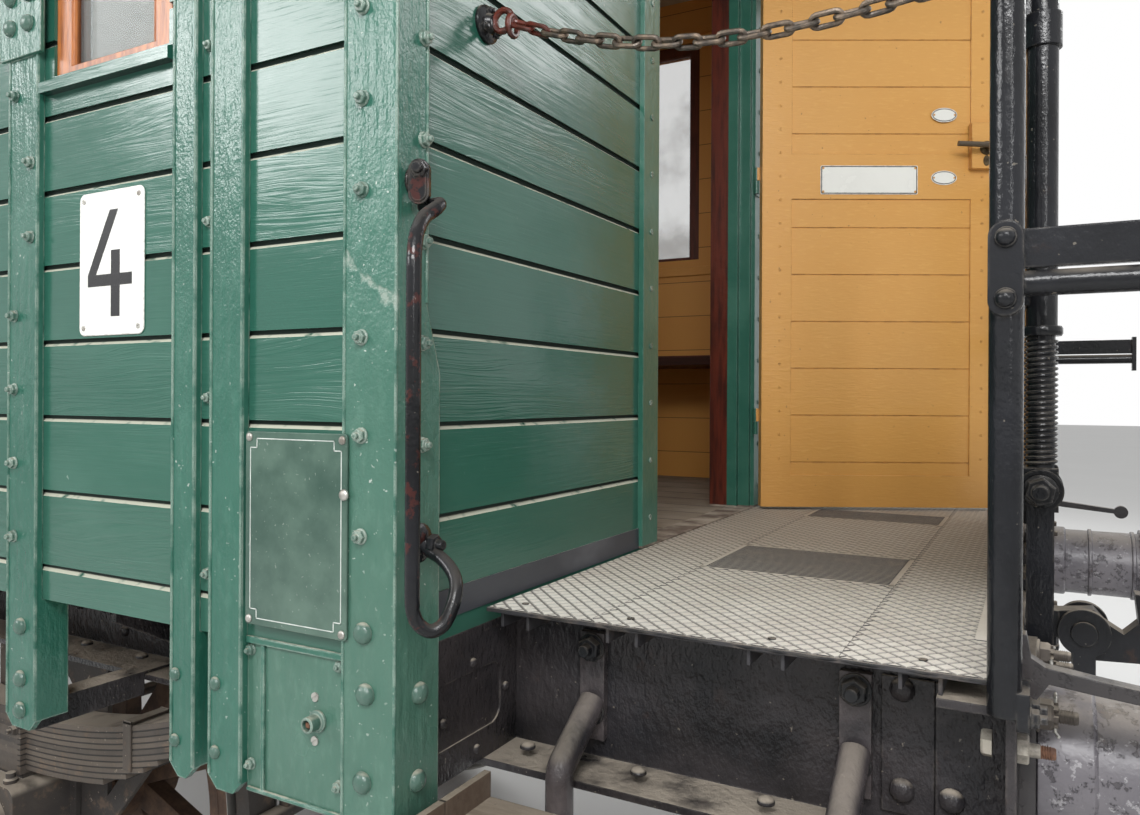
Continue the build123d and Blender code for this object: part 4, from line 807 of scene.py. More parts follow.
def dusty_iron(name, leaves=False):
    """Running gear: brown-grey dust over black, thick on top faces. Springs show each leaf."""
    c = colours()
    f = Finish(name, roughness=0.7)
    broad = f.noise(3.0, detail=5)
    patches = f.noise(22, detail=5, roughness=0.7)
    fine = f.noise(150, detail=3)
    f.paint = f.mix(f.ramp(broad, 0.35, 0.7), tone(48, 44, 42), tone(80, 72, 64))
    f.coat(f.ramp(patches, 0.52, 0.7), 0.6, tone(106, 88, 72))
    top = f.ramp(f.up, 0.3, 0.8)
    f.coat(f.both(top, f.blotches(12, 4, 0.2, 0.5)), 0.85, c.dust)
    specks = f.blotches(80, 2, 0.70, 0.74)
    f.coat(specks, 0.5, tone(160, 148, 132))
    relief = [(patches, 0.0015), (fine, 0.0005)]
    if leaves:
        # Each leaf is an arc of the same centre, high above the axle
        bend = (0.75**2 + SPRING_CAMBER**2) / (2 * SPRING_CAMBER)
        along = f.minus(f.size(f.x), AXLE_X)
        down = f.minus(SPRING_TOP + bend, f.z)
        reach = f.math("SQRT", f.plus(f.both(along, along), f.both(down, down)))
        leaf = f.math("DIVIDE", f.minus(reach, bend), LEAF_THICKNESS)
        share = f.math("FRACT", leaf)
        joint = f.most(f.ramp(share, 0.16, 0.06), f.ramp(share, 0.84, 0.94))
        joint = f.both(joint, f.ramp(f.size(along), 0.050, 0.058))
        joint = f.both(joint, f.both(f.ramp(leaf, 0.4, 0.6), f.ramp(leaf, 9.7, 9.5)))
        chance = f.chance(f.math("FLOOR", leaf))
        f.coat(chance, 0.35, tone(116, 104, 92))
        f.coat(joint, 0.9, tone(22, 20, 19))
        relief.append((joint, -0.002))
    return f.finish(f.plus(0.5, f.scaled(patches, 0.4)), relief, soften=0.003)


def tread_plate(name):
    """The platform: pale trodden dust on top, painted shade between the raised squares, painted light towards
    the entrances, black edges and joists.
    """
    c = colours()
    f = Finish(name, roughness=0.6)
    broad = f.noise(2.4, detail=5)
    patches = f.noise(19, detail=5, roughness=0.7)
    grit = f.noise(120, detail=3)
    iron = f.mix(f.ramp(patches, 0.45, 0.7), tone(48, 47, 50), tone(88, 80, 74))
    pale = f.mix(f.ramp(broad, 0.35, 0.7), c.plate_steel, tone(204, 196, 184))
    pale = f.over(pale, f.ramp(patches, 0.5, 0.75), 0.6, tone(236, 231, 220))
    # Darker along the middle and paler at the two entrances: trodden dirt, and painted shade over the far part
    # of the plate
    middle_dirt_and_shade = f.ramp(f.size(f.y), 1.05, 0.25)
    pale = f.over(pale, middle_dirt_and_shade, 0.75, tone(150, 137, 120))
    pale = f.over(pale, f.ramp(grit, 0.62, 0.72), 0.4, tone(140, 130, 120))
    # Painted shade in the low parts between the raised squares
    furrow_shade = f.both(f.ramp(f.z, DECK + 0.0009, DECK + 0.0004), f.ramp(f.up, 0.5, 0.9))
    # Painted light: paler towards the long edges of the plate, at the entrances
    edge = f.ramp(f.size(f.y), 0.75, 1.10)
    pale = f.over(pale, edge, 0.3, tone(240, 238, 234))
    pale = f.over(pale, furrow_shade, 0.8, tone(76, 72, 70))
    f.paint = f.mix(f.ramp(f.up, 0.3, 0.8), iron, pale)
    under = f.ramp(f.z, DECK - 0.004, DECK - 0.007)
    f.paint = f.mix(under, f.paint, iron)
    return f.finish(f.plus(0.45, f.scaled(patches, 0.4)), [(patches, 0.0006), (grit, 0.0003)], soften=0.002)


def roof_canvas(name):
    c = colours()
    f = Finish(name, roughness=0.8)
    weave = f.noise(260, detail=2)
    stains = f.noise(1.6, stretch=(0.5, 2, 1), detail=6, roughness=0.7)
    patches = f.noise(9, detail=4)
    f.paint = f.mix(f.ramp(stains, 0.35, 0.7), c.canvas, tone(98, 99, 97))
    f.coat(f.ramp(patches, 0.5, 0.75), 0.4, tone(166, 166, 160))
    below = f.ramp(f.up, -0.2, -0.5)
    ceiling = f.mix(f.ramp(patches, 0.4, 0.7), tone(206, 198, 178), tone(184, 174, 150))
    f.paint = f.mix(below, f.paint, ceiling)
    return f.finish(0.8, [(weave, 0.0006), (patches, 0.002)], soften=0.004)


def wheel_steel(name):
    """Rusty brown wheels with a bright tread."""
    f = Finish(name, roughness=0.6)
    away = f.minus(f.size(f.x), AXLE_X)
    radius = f.math("SQRT", f.plus(f.both(away, away), f.math("POWER", f.minus(f.z, AXLE_Z), 2.0)))
    tread = f.ramp(radius, 0.4935, 0.4950)
    patches = f.noise(20, detail=5, roughness=0.7)
    broad = f.noise(4, detail=3)
    f.paint = f.mix(f.ramp(patches, 0.35, 0.7), tone(70, 52, 42), tone(104, 80, 62))
    f.coat(f.ramp(broad, 0.5, 0.7), 0.4, tone(48, 42, 40))
    f.paint = f.mix(tread, f.paint, tone(168, 166, 162))
    f.feed(f.surface.inputs["Metallic"], f.scaled(tread, 0.9))
    rough = f.value_mix(tread, 0.75, 0.28)
    return f.finish(rough, [(patches, 0.0012)], soften=0.003)


def plain_enamel(name, colour, chip):
    f = Finish(name, roughness=0.22)
    smear = f.noise(14, detail=4)
    fine = f.noise(160, detail=2)
    f.paint = f.over(colour, f.ramp(smear, 0.4, 0.75), 0.25, [v * 0.82 for v in colour])
    worn = f.both(f.edge(0.004), f.blotches(60, 3, 0.45, 0.6))
    f.coat(worn, 0.6, chip)
    return f.finish(f.plus(0.18, f.scaled(smear, 0.16)), [(smear, 0.0006), (fine, 0.0001)], soften=0.001)


def dark_plaque(name):
    """A dark see-through sheet over green paint, a little cloudy."""
    f = Finish(name, roughness=0.14)
    cloud = f.noise(8, detail=5)
    dots = f.noise(170, detail=2)
    f.paint = f.mix(f.ramp(cloud, 0.35, 0.7), tone(54, 80, 70), tone(84, 108, 96))
    f.coat(f.ramp(dots, 0.68, 0.74), 0.4, tone(150, 160, 150))
    return f.finish(f.plus(0.10, f.scaled(cloud, 0.2)), [(cloud, 0.0006)])


def worn_metal(name, base, dark, metallic=0.9):
    f = Finish(name, roughness=0.35, metallic=metallic)
    tarnish = f.noise(40, detail=4)
    fine = f.noise(220, detail=2)
    f.paint = f.mix(f.ramp(tarnish, 0.4, 0.7), base, dark)
    return f.finish(f.plus(0.28, f.scaled(tarnish, 0.3)), [(fine, 0.0002)], soften=0.001)


def pane(name):
    """Old window glass: a little uneven, and dusty in patches."""
    f = Finish(name, roughness=0.05, IOR=1.45)
    waves = f.noise(5, detail=2)
    dust = f.ramp(f.noise(2.5, detail=5, roughness=0.6), 0.40, 0.75)
    f.paint = f.mix(dust, tone(178, 190, 188), tone(150, 148, 136))
    f.feed(f.surface.inputs["Alpha"], f.plus(0.22, f.scaled(dust, 0.25)))
    return f.finish(f.plus(0.03, f.scaled(dust, 0.35)), [(waves, 0.0015)])


def tinted(name, colour, dark, roughness=0.5, metallic=0.0, scale=30.0):
    """A small fitting's paint or metal with blotches and grit."""
    f = Finish(name, roughness=roughness, metallic=metallic)
    blotch = f.noise(scale, detail=5, roughness=0.65)
    fine = f.noise(scale * 8, detail=2)
    f.paint = f.mix(f.ramp(blotch, 0.38, 0.68), colour, dark)
    return f.finish(
        f.plus(roughness * 0.75, f.scaled(blotch, roughness * 0.5)), [(blotch, 0.0006), (fine, 0.0002)],
        soften=0.0012,
    )


materials = {}


def material(name):
    """A finish by name, made once."""
    if name not in materials:
        c = colours()
        swung = (-sin(DOOR_SWING - pi / 2), sin(pi - DOOR_SWING), 0)
        makers = {
            "side boards": lambda n: green_boards(n, "x"),
            "end boards": lambda n: green_boards(n, "y"),
            "green steel": lambda n: painted_steel(n, c.body, c.body_light),
            "corner steel": lambda n: painted_steel(n, c.body, c.body_light, haze_and_sheen=0.07),
            "door a paint": lambda n: ochre_paint(n, swung, ((*DOOR_HINGE[:2], 0), swung)),
            "door b paint": lambda n: ochre_paint(
                n, (-1, 0, 0), ((-DOOR_HINGE[0], -DOOR_HINGE[1], 0), (-1, 0, 0))
            ),
            "ochre boards": ochre_paint,
            "window wood": lambda n: wood(n, c.varnish, tone(128, 70, 34), 0.3, "z", inner=c.mahogany),
            "red bench wood": lambda n: wood(n, c.mahogany, tone(60, 26, 20), 0.35, "x"),
            "floor planks": lambda n: weathered_planks(n, 0.165, "x"),
            "step planks": lambda n: weathered_planks(n, 0.125, "x"),
            "gloss black": lambda n: black_iron(n, 0.14, dust_share=0.35, rust_share=0.15),
            "handrail black": lambda n: black_iron(
                n, 0.12, dust_share=0.1, rust_share=0.1, primer_share=0.35, grit=0.0002
            ),
            "satin black": lambda n: black_iron(n, 0.34, dust_share=0.75),
            "underframe": lambda n: black_iron(
                n, 0.16, dust_share=0.85, rust_share=0.25, grit=0.0018, haze_and_sheen=0.16
            ),
            "dusty iron": dusty_iron,
            "spring leaves": lambda n: dusty_iron(n, leaves=True),
            "tread plate": tread_plate,
            "roof canvas": roof_canvas,
            "wheel steel": wheel_steel,
            "white enamel": lambda n: plain_enamel(n, c.enamel, tone(70, 60, 52)),
            "black numeral": lambda n: plain_enamel(n, tone(28, 28, 30), tone(90, 90, 90)),
            "plaque sheet": dark_plaque,
            "plaque line": lambda n: tinted(n, tone(214, 220, 214), tone(180, 188, 182), 0.4),
            "bronze": lambda n: worn_metal(n, tone(96, 82, 60), tone(52, 44, 34)),
            "bright steel": lambda n: worn_metal(n, tone(188, 186, 180), tone(128, 122, 114)),
            "green nuts": lambda n: painted_steel(n, tone(58, 92, 80), tone(122, 140, 130)),
            "pale iron": lambda n: tinted(n, tone(168, 162, 150), tone(112, 106, 100), 0.5, 0.3, 40),
            "rusty iron": lambda n: tinted(n, tone(112, 78, 58), tone(74, 52, 42), 0.7, 0.2, 50),
            "chain iron": lambda n: tinted(n, tone(74, 68, 62), tone(128, 112, 96), 0.38, 0.55, 60),
            "primer iron": lambda n: tinted(n, c.primer, tone(60, 34, 28), 0.28, 0.0, 40),
            "worn bar": lambda n: black_iron(n, 0.26, dust_share=0.4, rust_share=0.1, grit=0.0010, haze_and_sheen=0.55),
            "peeling grey": peeling_grey,
            "greased steel": lambda n: tinted(n, tone(96, 92, 88), tone(58, 52, 48), 0.4, 0.6, 12),
            "red handle": lambda n: tinted(n, tone(168, 50, 44), tone(120, 36, 34), 0.35, 0.0, 30),
            "door frame": door_frame_paint,
            "bench": bench_paint,
            "glass pane": pane,
            "roof metal": lambda n: tinted(n, tone(122, 124, 122), tone(92, 90, 86), 0.5, 0.2, 14),
        }
        materials[name] = makers[name]("coach_" + name.replace(" ", "_"))
    return materials[name]


NODE_FINISHES = {
    "underframe": "solebars headstocks cross_members",
    "floor planks": "floor_planks",
    "side boards": "side_wall_near side_wall_far baggage_door_near baggage_door_far",
    "green steel": "side_posts",
    "corner steel": "corner_posts",
    "end boards": "end_wall_a end_wall_b",
    "door frame": "door_frames",
    "door a paint": "end_door_a",
    "door b paint": "end_door_b",
    "satin black": "door_rails draw_hooks screw_couplings brake_pipe",
    "window wood": "window_frames",
    "glass pane": "window_glass",
    "roof canvas": "roof",
    "roof metal": "roof_vents",
    "ochre boards": "partition",
    "bench": "benches",
    "tread plate": "platforms fall_plate_a fall_plate_b",
    "gloss black": "end_railings handbrake",
    "peeling grey": "buffer_housings",
    "greased steel": "buffer_heads",
    "dusty iron": "axle_guards axle_boxes brake_rigging",
    "spring leaves": "leaf_springs",
    "wheel steel": "wheels_a axle_a wheels_b axle_b",
    "step planks": "step_boards",
    "worn bar": "step_hangers",
    "handrail black": "handrails",
}


def door_frame_paint(name):
    """Green steel outside, mahogany stops inside, and a trodden sill."""
    c = colours()
    f = Finish(name, roughness=0.35)
    broad = f.noise(5, detail=4)
    daubs = f.noise(45, detail=3)
    long_grain = f.noise(9, stretch=(9, 9, 1), detail=6)
    green = f.over(c.body, f.ramp(broad, 0.35, 0.7), 0.35, c.body_light)
    red = f.mix(f.ramp(long_grain, 0.35, 0.7), c.mahogany, tone(58, 26, 20))
    f.paint = f.mix(f.ramp(f.size(f.x), BOARD_X - 0.064, BOARD_X - 0.066), green, red)
    wear = f.both(f.edge(0.004), f.blotches(26, 4, 0.35, 0.62))
    f.coat(wear, 0.2, tone(150, 164, 154))
    sill = f.ramp(f.z, DECK + 0.006, DECK + 0.004)
    trodden = f.mix(f.blotches(14, 5, 0.35, 0.65), tone(96, 82, 72), c.dust)
    f.paint = f.mix(sill, f.paint, trodden)
    return f.finish(f.value_mix(sill, 0.3, 0.85), [(daubs, 0.0012)], soften=0.002)


def bench_paint(name):
    """Red-brown seat on ochre legs."""
    c = colours()
    f = Finish(name, roughness=0.35)
    long_grain = f.noise(9, stretch=(1, 9, 9), detail=6)
    slats = f.math("FRACT", f.math("DIVIDE", f.y, 0.078))
    gap = f.most(f.ramp(slats, 0.05, 0.02), f.ramp(slats, 0.95, 0.98))
    red = f.mix(f.ramp(long_grain, 0.35, 0.7), c.mahogany, tone(58, 26, 20))
    red = f.over(red, gap, 0.8, (0.004, 0.002, 0.002))
    ochre = f.over(c.ochre, f.ramp(long_grain, 0.4, 0.7), 0.4, tone(190, 130, 62))
    f.paint = f.mix(f.ramp(f.z, DECK + 0.466, DECK + 0.464), red, ochre)
    return f.finish(0.35, [(long_grain, 0.0005), (f.scaled(gap, -1.0), 0.002)], soften=0.003)


def dress_nodes():
    """Gives every node of the frame its finish."""
    for finish, nodes in NODE_FINISHES.items():
        chosen = material(finish)
        for node in nodes.split():
            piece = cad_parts[node]
            if not piece.material_slots:
                raise RuntimeError(f"{node} has no material slot")
            for place in piece.material_slots:
                place.material = chosen


# Body fastenings

POST_WIDTH = 0.097
WINDOW_PLACES = [0.672 + 1.221 * i for i in range(3)] + [2 * END_X - 0.672]
WINDOW_HALF = 0.165
WINDOW_UPS = (0.940, 1.880)
WINDOW_FOOT_BAR = 0.014
DOOR_TRAVEL = 1.480
WINDOW_POST_GAP = 0.194
BAGGAGE_OFFSET = 2 * END_X - 1.400 - 1.500
LAST_WINDOW_POST = WINDOW_PLACES[2] + WINDOW_POST_GAP
MIDDLE_BAY = (BAGGAGE_OFFSET - 2 * POST_WIDTH - LAST_WINDOW_POST) / 3
WIDE_POSTS = [
    WINDOW_PLACES[0] + WINDOW_POST_GAP,
    WINDOW_PLACES[1] - WINDOW_POST_GAP - POST_WIDTH,
    WINDOW_PLACES[1] + WINDOW_POST_GAP,
    WINDOW_PLACES[2] - WINDOW_POST_GAP - POST_WIDTH,
    LAST_WINDOW_POST,
    LAST_WINDOW_POST + MIDDLE_BAY,
    LAST_WINDOW_POST + 2 * MIDDLE_BAY,
    BAGGAGE_OFFSET - POST_WIDTH,
    BAGGAGE_OFFSET + 1.500,
    WINDOW_PLACES[3] - WINDOW_POST_GAP - POST_WIDTH,
]
CORNER_LOW_UPS = (0.141, 0.286, 0.427)
CORNER_NUT_UPS = CORNER_LOW_UPS + tuple(levels(0.639, 0.1315, 1.95))
END_LEG_UPS = tuple(levels(0.272, 0.1485, 1.95))
CORNER_DOMES = ((0.057, 0.003), (0.052, -0.084), (0.057, -0.211))
END_LEG_DOMES = ((0.054, -0.089), (0.050, -0.215))
COVER_BOLTS = ((0.299, -0.058), (0.298, -0.238), (0.111, -0.056), (0.113, -0.234))
# Radius and height up the boss, with the square's well in its end
LOCK_BOSS = (
    (0.0165, 0), (0.0165, 0.004), (0.012, 0.006), (0.012, 0.024), (0.0085, 0.025), (0.0085, 0.008), (0, 0.008),
)
LOCK_SCREWS = ((0.162, -0.110), (0.162, -0.176))


def nuts_and_domes():
    """Nuts, flush screws and domed bolts of the body, gathered in one piece for nuts and one for domes."""
    s = sizes()
    chance = random.Random(s.seed)
    nut = hexagon_nut(s.nut, s.bolt)
    small_nut = hexagon_nut(s.nut * 0.8, s.bolt * 0.8)
    dome = domed_head(s.coach_bolt)
    nuts, domes = Shape(), Shape()

    def put(shape, part, point, direction):
        shape.add(part, facing(point, direction, chance.uniform(0, pi)))

    for up in CORNER_NUT_UPS:
        for point, way in at_corners((END_X - 0.063, -SIDE_Y, DECK + up), (0, -1, 0)):
            put(nuts, nut, point, way)
    for up in END_LEG_UPS:
        for point, way in at_corners((END_X, -SIDE_Y + 0.058, DECK + up), (1, 0, 0)):
            put(nuts, nut, point, way)
    for offset, up in CORNER_DOMES:
        for point, way in at_corners((END_X - offset, -SIDE_Y, DECK + up), (0, -1, 0)):
            put(domes, dome, point, way)
    for inset, up in END_LEG_DOMES:
        for point, way in at_corners((END_X, -SIDE_Y + inset, DECK + up), (1, 0, 0)):
            put(domes, dome, point, way)
    for offset, up in COVER_BOLTS:
        for point, way in at_corners((END_X - offset, -BOARD_Y, DECK + up), (0, -1, 0)):
            put(nuts, small_nut, point, way)
    recess = 0.308 + 0.077 + 0.0175
    for up in levels(0.051, 0.288, 1.90):
        for point, way in at_corners((END_X - recess, -BOARD_Y, DECK + up), (0, -1, 0)):
            put(nuts, small_nut, point, way)
    flush = slotted_screw(s.screw * 1.5)
    # The screws are flush where the baggage doors slide past
    swept_from = low("baggage_door_near").x - POST_WIDTH
    swept_to = high("baggage_door_near").x + DOOR_TRAVEL + POST_WIDTH
    for start in WIDE_POSTS:
        swept = swept_from < END_X - start < swept_to
        for up in (0.070, 0.211, 0.352, 0.493, 0.641, 0.782, 0.915, 1.20, 1.48, 1.76, 1.93):
            for side in (-1, 1):
                spot = start + POST_WIDTH / 2 + 0.026 * (1 if int(up * 100) % 2 else -1)
                put(nuts, flush if swept else nut, (END_X - spot, side * SIDE_Y, DECK + up), (0, side, 0))
        for up in (-0.10, -0.20, -0.26):
            for side in (-1, 1):
                put(domes, dome, (END_X - start - POST_WIDTH / 2, side * SIDE_Y, DECK + up), (0, side, 0))
    for start, width in ((0.308, 0.077), (0.420, 0.059)):
        for up in (-0.12, -0.23):
            for point, way in at_corners((END_X - start - width * 0.78, -SIDE_Y, DECK + up), (0, -1, 0)):
                put(domes, domed_head(0.022), point, way)
    plate = WIDE_POSTS[0]
    for shift, up in ((0.020, 1.043), (0.020, 1.100), (0.078, 1.043), (0.078, 1.100)):
        for side in (-1, 1):
            put(domes, dome, (END_X - plate - shift, side * (SIDE_Y + 0.008), DECK + up), (0, side, 0))
    nuts.build("body_nuts", "green nuts", "post_green")
    domes.build("body_domed_bolts", "green nuts", "post_green")


def lock_boss():
    """The square-key lock in each cover below the boards, with its two screws."""
    boss, squares, screws = Shape(), Shape(), Shape()
    for end, side in CORNERS:
        place = side_on(side, end * (END_X - 0.156), side * BOARD_Y, DECK - 0.145)
        boss.add(lathe(LOCK_BOSS, 24), place)
        squares.add(cuboid((-0.0035, 0.0035), (-0.0035, 0.0035), (0.007, 0.022)), place)
        for offset, up in LOCK_SCREWS:
            screws.add(
                slotted_screw(0.014), side_on(side, end * (END_X - offset), side * BOARD_Y, DECK + up, 0.6)
            )
    boss.build("lock_bosses", "green nuts", "post_green")
    squares.build("lock_squares", "rusty iron", "post_green")
    screws.build("lock_screws", "bright steel", "post_green")


def cover_folds():
    """The folded joint and top seam of the cover between the corner post and the pair of posts."""
    fold = Shape()
    for mirror in MIRRORS:
        x = END_X - 0.271
        fold.add(
            cuboid((x - 0.0035, x + 0.0035), (-BOARD_Y - 0.0045, -BOARD_Y), (DECK - 0.276, DECK - 0.047)),
            mirror,
        )
        fold.add(
            cuboid(
                (END_X - 0.306, END_X - 0.101), (-BOARD_Y - 0.006, -BOARD_Y), (DECK - 0.047, DECK - 0.036)
            ),
            mirror,
        )
        fold.add(
            tube(
                [
                    (END_X - 0.304, -BOARD_Y - 0.002, DECK - 0.277),
                    (END_X - 0.102, -BOARD_Y - 0.002, DECK - 0.277),
                ],
                0.004,
                8,
            ),
            mirror,
        )
    fold.build("cover_folds", "green steel", "post_green", bevel=0.001)


def post_edges():
    """Rolled edges of the steel posts: a raised bead along each edge that the brush left thick."""
    beads = Shape()
    top = DECK + 1.99
    for start, width, foot in (
        *((start, POST_WIDTH, -0.272) for start in WIDE_POSTS),
        (0.308, 0.077, -0.266),
        (0.420, 0.059, -0.266),
    ):
        for edge in (start + 0.003, start + width - 0.003):
            ends = (1, -1) if width < POST_WIDTH else (1,)
            for end in ends:
                for side in (-1, 1):
                    x = end * (END_X - edge)
                    y = side * (SIDE_Y + 0.0002)
                    beads.add(tube([(x, y, DECK + foot), (x, y, top)], 0.0028, 8))
    for end, side in CORNERS:
        for x, y in ((END_X - 0.002, SIDE_Y - 0.002), (END_X - 0.0965, SIDE_Y), (END_X, SIDE_Y - 0.0675)):
            foot = DECK - 0.297 if y > SIDE_Y - 0.05 else DECK + 0.48
            beads.add(tube([(end * x, side * y, foot), (end * x, side * y, top)], 0.0026, 8))
    beads.build("post_edge_beads", "green steel", "post_green")


# Plates


def number_plates():
    """A white enamelled plate with the numeral 4 in the first bay of each side."""
    plates, numerals, screws = Shape(), Shape(), Shape()
    width, height = 0.183, 0.258
    for side in (-1, 1):
        place = side_on(side, END_X - 0.6585, side * BOARD_Y, DECK + 0.578)
        plates.add(slab(rounded(width, height, 0.014), 0.0032), place)
        for stroke in (
            [(0.001, -0.096), (0.026, -0.096), (0.026, -0.041), (0.001, -0.041)],
            [(-0.066, -0.041), (0.060, -0.041), (0.060, -0.020), (-0.066, -0.020)],
            [(0.001, -0.020), (0.026, -0.020), (0.026, 0.022), (0.001, 0.022)],
            [(-0.066, -0.020), (-0.042, -0.020), (0.021, 0.094), (-0.003, 0.094)],
        ):
            numerals.add(slab(stroke, 0.0006, 0.0030), place)
        for x in (-0.078, 0.078):
            for y in (-0.115, 0.115):
                spot = place @ shifted(x, y, 0.0032) @ turned(x * 9 + y * 5)
                screws.add(slotted_screw(0.009), spot)
    plates.build("number_plates", "white enamel", "post_green", bevel=0.0012)
    numerals.build("numerals", "black numeral", "rail_black", smooth=0)
    screws.build("number_plate_screws", "bright steel", "rail_black")


def plaque():
    """A blank dark sheet with a pale line round it, held by four screws beside the corner post."""
    sheet, line, screws = Shape(), Shape(), Shape()
    width, height = 0.210, 0.300
    inner_w, inner_h, notch, wire = width - 0.022, height - 0.022, 0.014, 0.0016
    corners = []
    for x, y in ((-1, 1), (-1, -1), (1, -1), (1, 1)):
        notched = [
            (inner_w / 2 - notch, inner_h / 2), (inner_w / 2 - notch, inner_h / 2 - notch),
            (inner_w / 2, inner_h / 2 - notch),
        ]
        corners += [(x * across, y * up) for across, up in notched[:: -x * y]]
    place = facing((END_X - 0.190, -SIDE_Y - 0.0015, DECK + 0.1375), (0, -1, 0))
    sheet.add(slab(rounded(width, height, 0.006), 0.004), place)
    for first, second in zip(corners[-1:] + corners[:-1], corners):
        x = sorted((first[0], second[0]))
        y = sorted((first[1], second[1]))
        line.add(
            cuboid((x[0] - wire / 2, x[1] + wire / 2), (y[0] - wire / 2, y[1] + wire / 2), (0.0038, 0.0043)),
            place,
        )
    for x in (-1, 1):
        for y in (-1, 1):
            spot = place @ shifted(x * (width / 2 - 0.009), y * (height / 2 - 0.009), 0.004)
            screws.add(domed_head(0.013, 0.25), spot)
    screws.add(domed_head(0.017, 0.3), place @ shifted(width / 2 - 0.005, 0.062, 0.004))
    sheet.build("plaque", "plaque sheet", "post_green", bevel=0.0012)
    line.build("plaque_line", "plaque line", "post_green", smooth=0)
    screws.build("plaque_screws", "bright steel", "post_green")


# Doors


def door_place(end):
    """Moves a part drawn on the shut end a door to where the door of that end stands at rest."""
    if end == "a":
        pin = Matrix.Translation(DOOR_HINGE)
        return pin @ turned(DOOR_SWING) @ pin.inverted()
    return turned(pi)


def door_fittings():
    """Blank signs, screws and keyhole plates on both end doors, drawn on the shut door."""
    inner = END_X - 0.040
    left, right = -0.362, 0.363
    for end in ("a", "b"):
        turn = door_place(end)
        body = "end_door_" + end
        white, screws, bronze, dark = Shape(), Shape(), Shape(), Shape()

        def on_inner(y, up, depth=0.0):
            return turn @ facing((inner - depth, y, DECK + up), (-1, 0, 0))

        def on_outer(y, up):
            return turn @ end_on(END_X, y, DECK + up)

        white.add(slab(rounded(0.296, 0.088, 0.004), 0.0025), on_inner(0.038, 1.012, 0.0))
        dark.add(slab(rounded(0.292, 0.084, 0.003), 0.0004, 0.0024), on_inner(0.038, 1.012))
        white.add(slab(rounded(0.287, 0.079, 0.003), 0.0006, 0.0025), on_inner(0.038, 1.012))
        for y, up in ((-0.190, 1.211), (-0.190, 1.019)):
            white.add(slab(oval(0.078, 0.044), 0.0025), on_inner(y, up))
            dark.add(slab(oval(0.073, 0.039), 0.0004, 0.0024), on_inner(y, up))
            white.add(slab(oval(0.069, 0.035), 0.0006, 0.0025), on_inner(y, up))
            for shift in (-0.031, 0.031):
                screws.add(slotted_screw(0.006), on_inner(y + shift, up, 0.0031) @ turned(shift * 20))
        for shift in (-0.140, 0.140):
            for rise in (-0.036, 0.036):
                screws.add(slotted_screw(0.007), on_inner(0.038 + shift, 1.012 + rise, 0.0031))
        for up in levels(0.16, 0.072, 1.80):
            for y in (left + 0.055, right - 0.055):
                screws.add(slotted_screw(0.009), on_inner(y, up) @ turned(up * 7))
                screws.add(slotted_screw(0.009), on_outer(y, up) @ turned(up * 5))
        for way, lift in ((on_inner, 0.024), (on_outer, 0.006)):
            spot = way(-0.309, 1.104) @ shifted(0, 0, lift)
            bronze.add(
                lathe([(0.021, 0), (0.021, 0.003), (0.012, 0.007), (0.010, 0.010), (0, 0.010)], 24), spot
            )
            spot = way(-0.309, 1.066) @ shifted(0, 0, lift)
            bronze.add(slab(oval(0.020, 0.032, 20), 0.002), spot)
        white.build(f"door_{end}_signs", "white enamel", "door_ochre", body, bevel=0.0006)
        dark.build(f"door_{end}_sign_lines", "black numeral", "rail_black", body, smooth=0)
        screws.build(f"door_{end}_screws", f"door {end} paint", "door_ochre", body)
        bronze.build(f"door_{end}_plates", "bronze", "rail_black", body)


def door_frame_fittings():
    """Slotted screws up the steel frame of each end doorway, and the screws of the hinge leaves."""
    screws = Shape()
    head = slotted_screw(sizes().screw * 1.25)
    small = slotted_screw(sizes().screw * 0.8)
    turn_b = turned(pi)
    for turn in (Matrix.Identity(4), turn_b):
        for up in levels(0.066, 0.132, 1.80):
            for y in (-0.431, 0.431):
                screws.add(head, turn @ end_on(END_X, y, DECK + up, up * 11))
        for y in (-0.29, -0.15, 0.0, 0.15, 0.29):
            screws.add(head, turn @ end_on(END_X, y, DECK + 1.903, y * 9))
        for up in (0.230, 0.53 * 1.850, 1.660):
            for shift in (0.010, 0.030):
                screws.add(small, turn @ end_on(END_X + 0.004, 0.402, DECK + up + shift, shift * 60))
    screws.build("door_frame_screws", "green nuts", "post_green")


def baggage_door_fittings():
    """Frame nuts, a hasp and strap irons on the sliding doors."""
    for name, side in (("near", -1), ("far", 1)):
        box_low, box_high = low("baggage_door_" + name), high("baggage_door_" + name)
        face = side * (SIDE_Y + 0.046)
        x0, x1 = box_low.x, box_high.x
        bolts, straps = Shape(), Shape()
        for up in levels(0.06, 0.22, 1.80):
            for x in (x0 + 0.045, x1 - 0.045):
                bolts.add(hexagon_nut(0.019, 0.010), side_on(side, x, face, DECK + up, up * 3))
        for x in (x0 + 0.045, x1 - 0.045):
            y = sorted((face, face + side * 0.004))
            for up in (0.10, 0.95, 1.80):
                straps.add(cuboid((x - 0.038, x + 0.038), y, (DECK + up - 0.03, DECK + up + 0.03)))
        hasp = [(0.0, 0.0), (0.10, 0.0), (0.10, 0.03), (0.0, 0.03)]
        straps.add(slab(hasp, 0.005), side_on(side, x0 + 0.05, face, DECK + 1.00))
        bolts.build(f"baggage_{name}_bolts", "green nuts", "post_green", "baggage_door_" + name)
        straps.build(
            f"baggage_{name}_straps", "green steel", "post_green", "baggage_door_" + name, bevel=0.001
        )


# Entrance chains


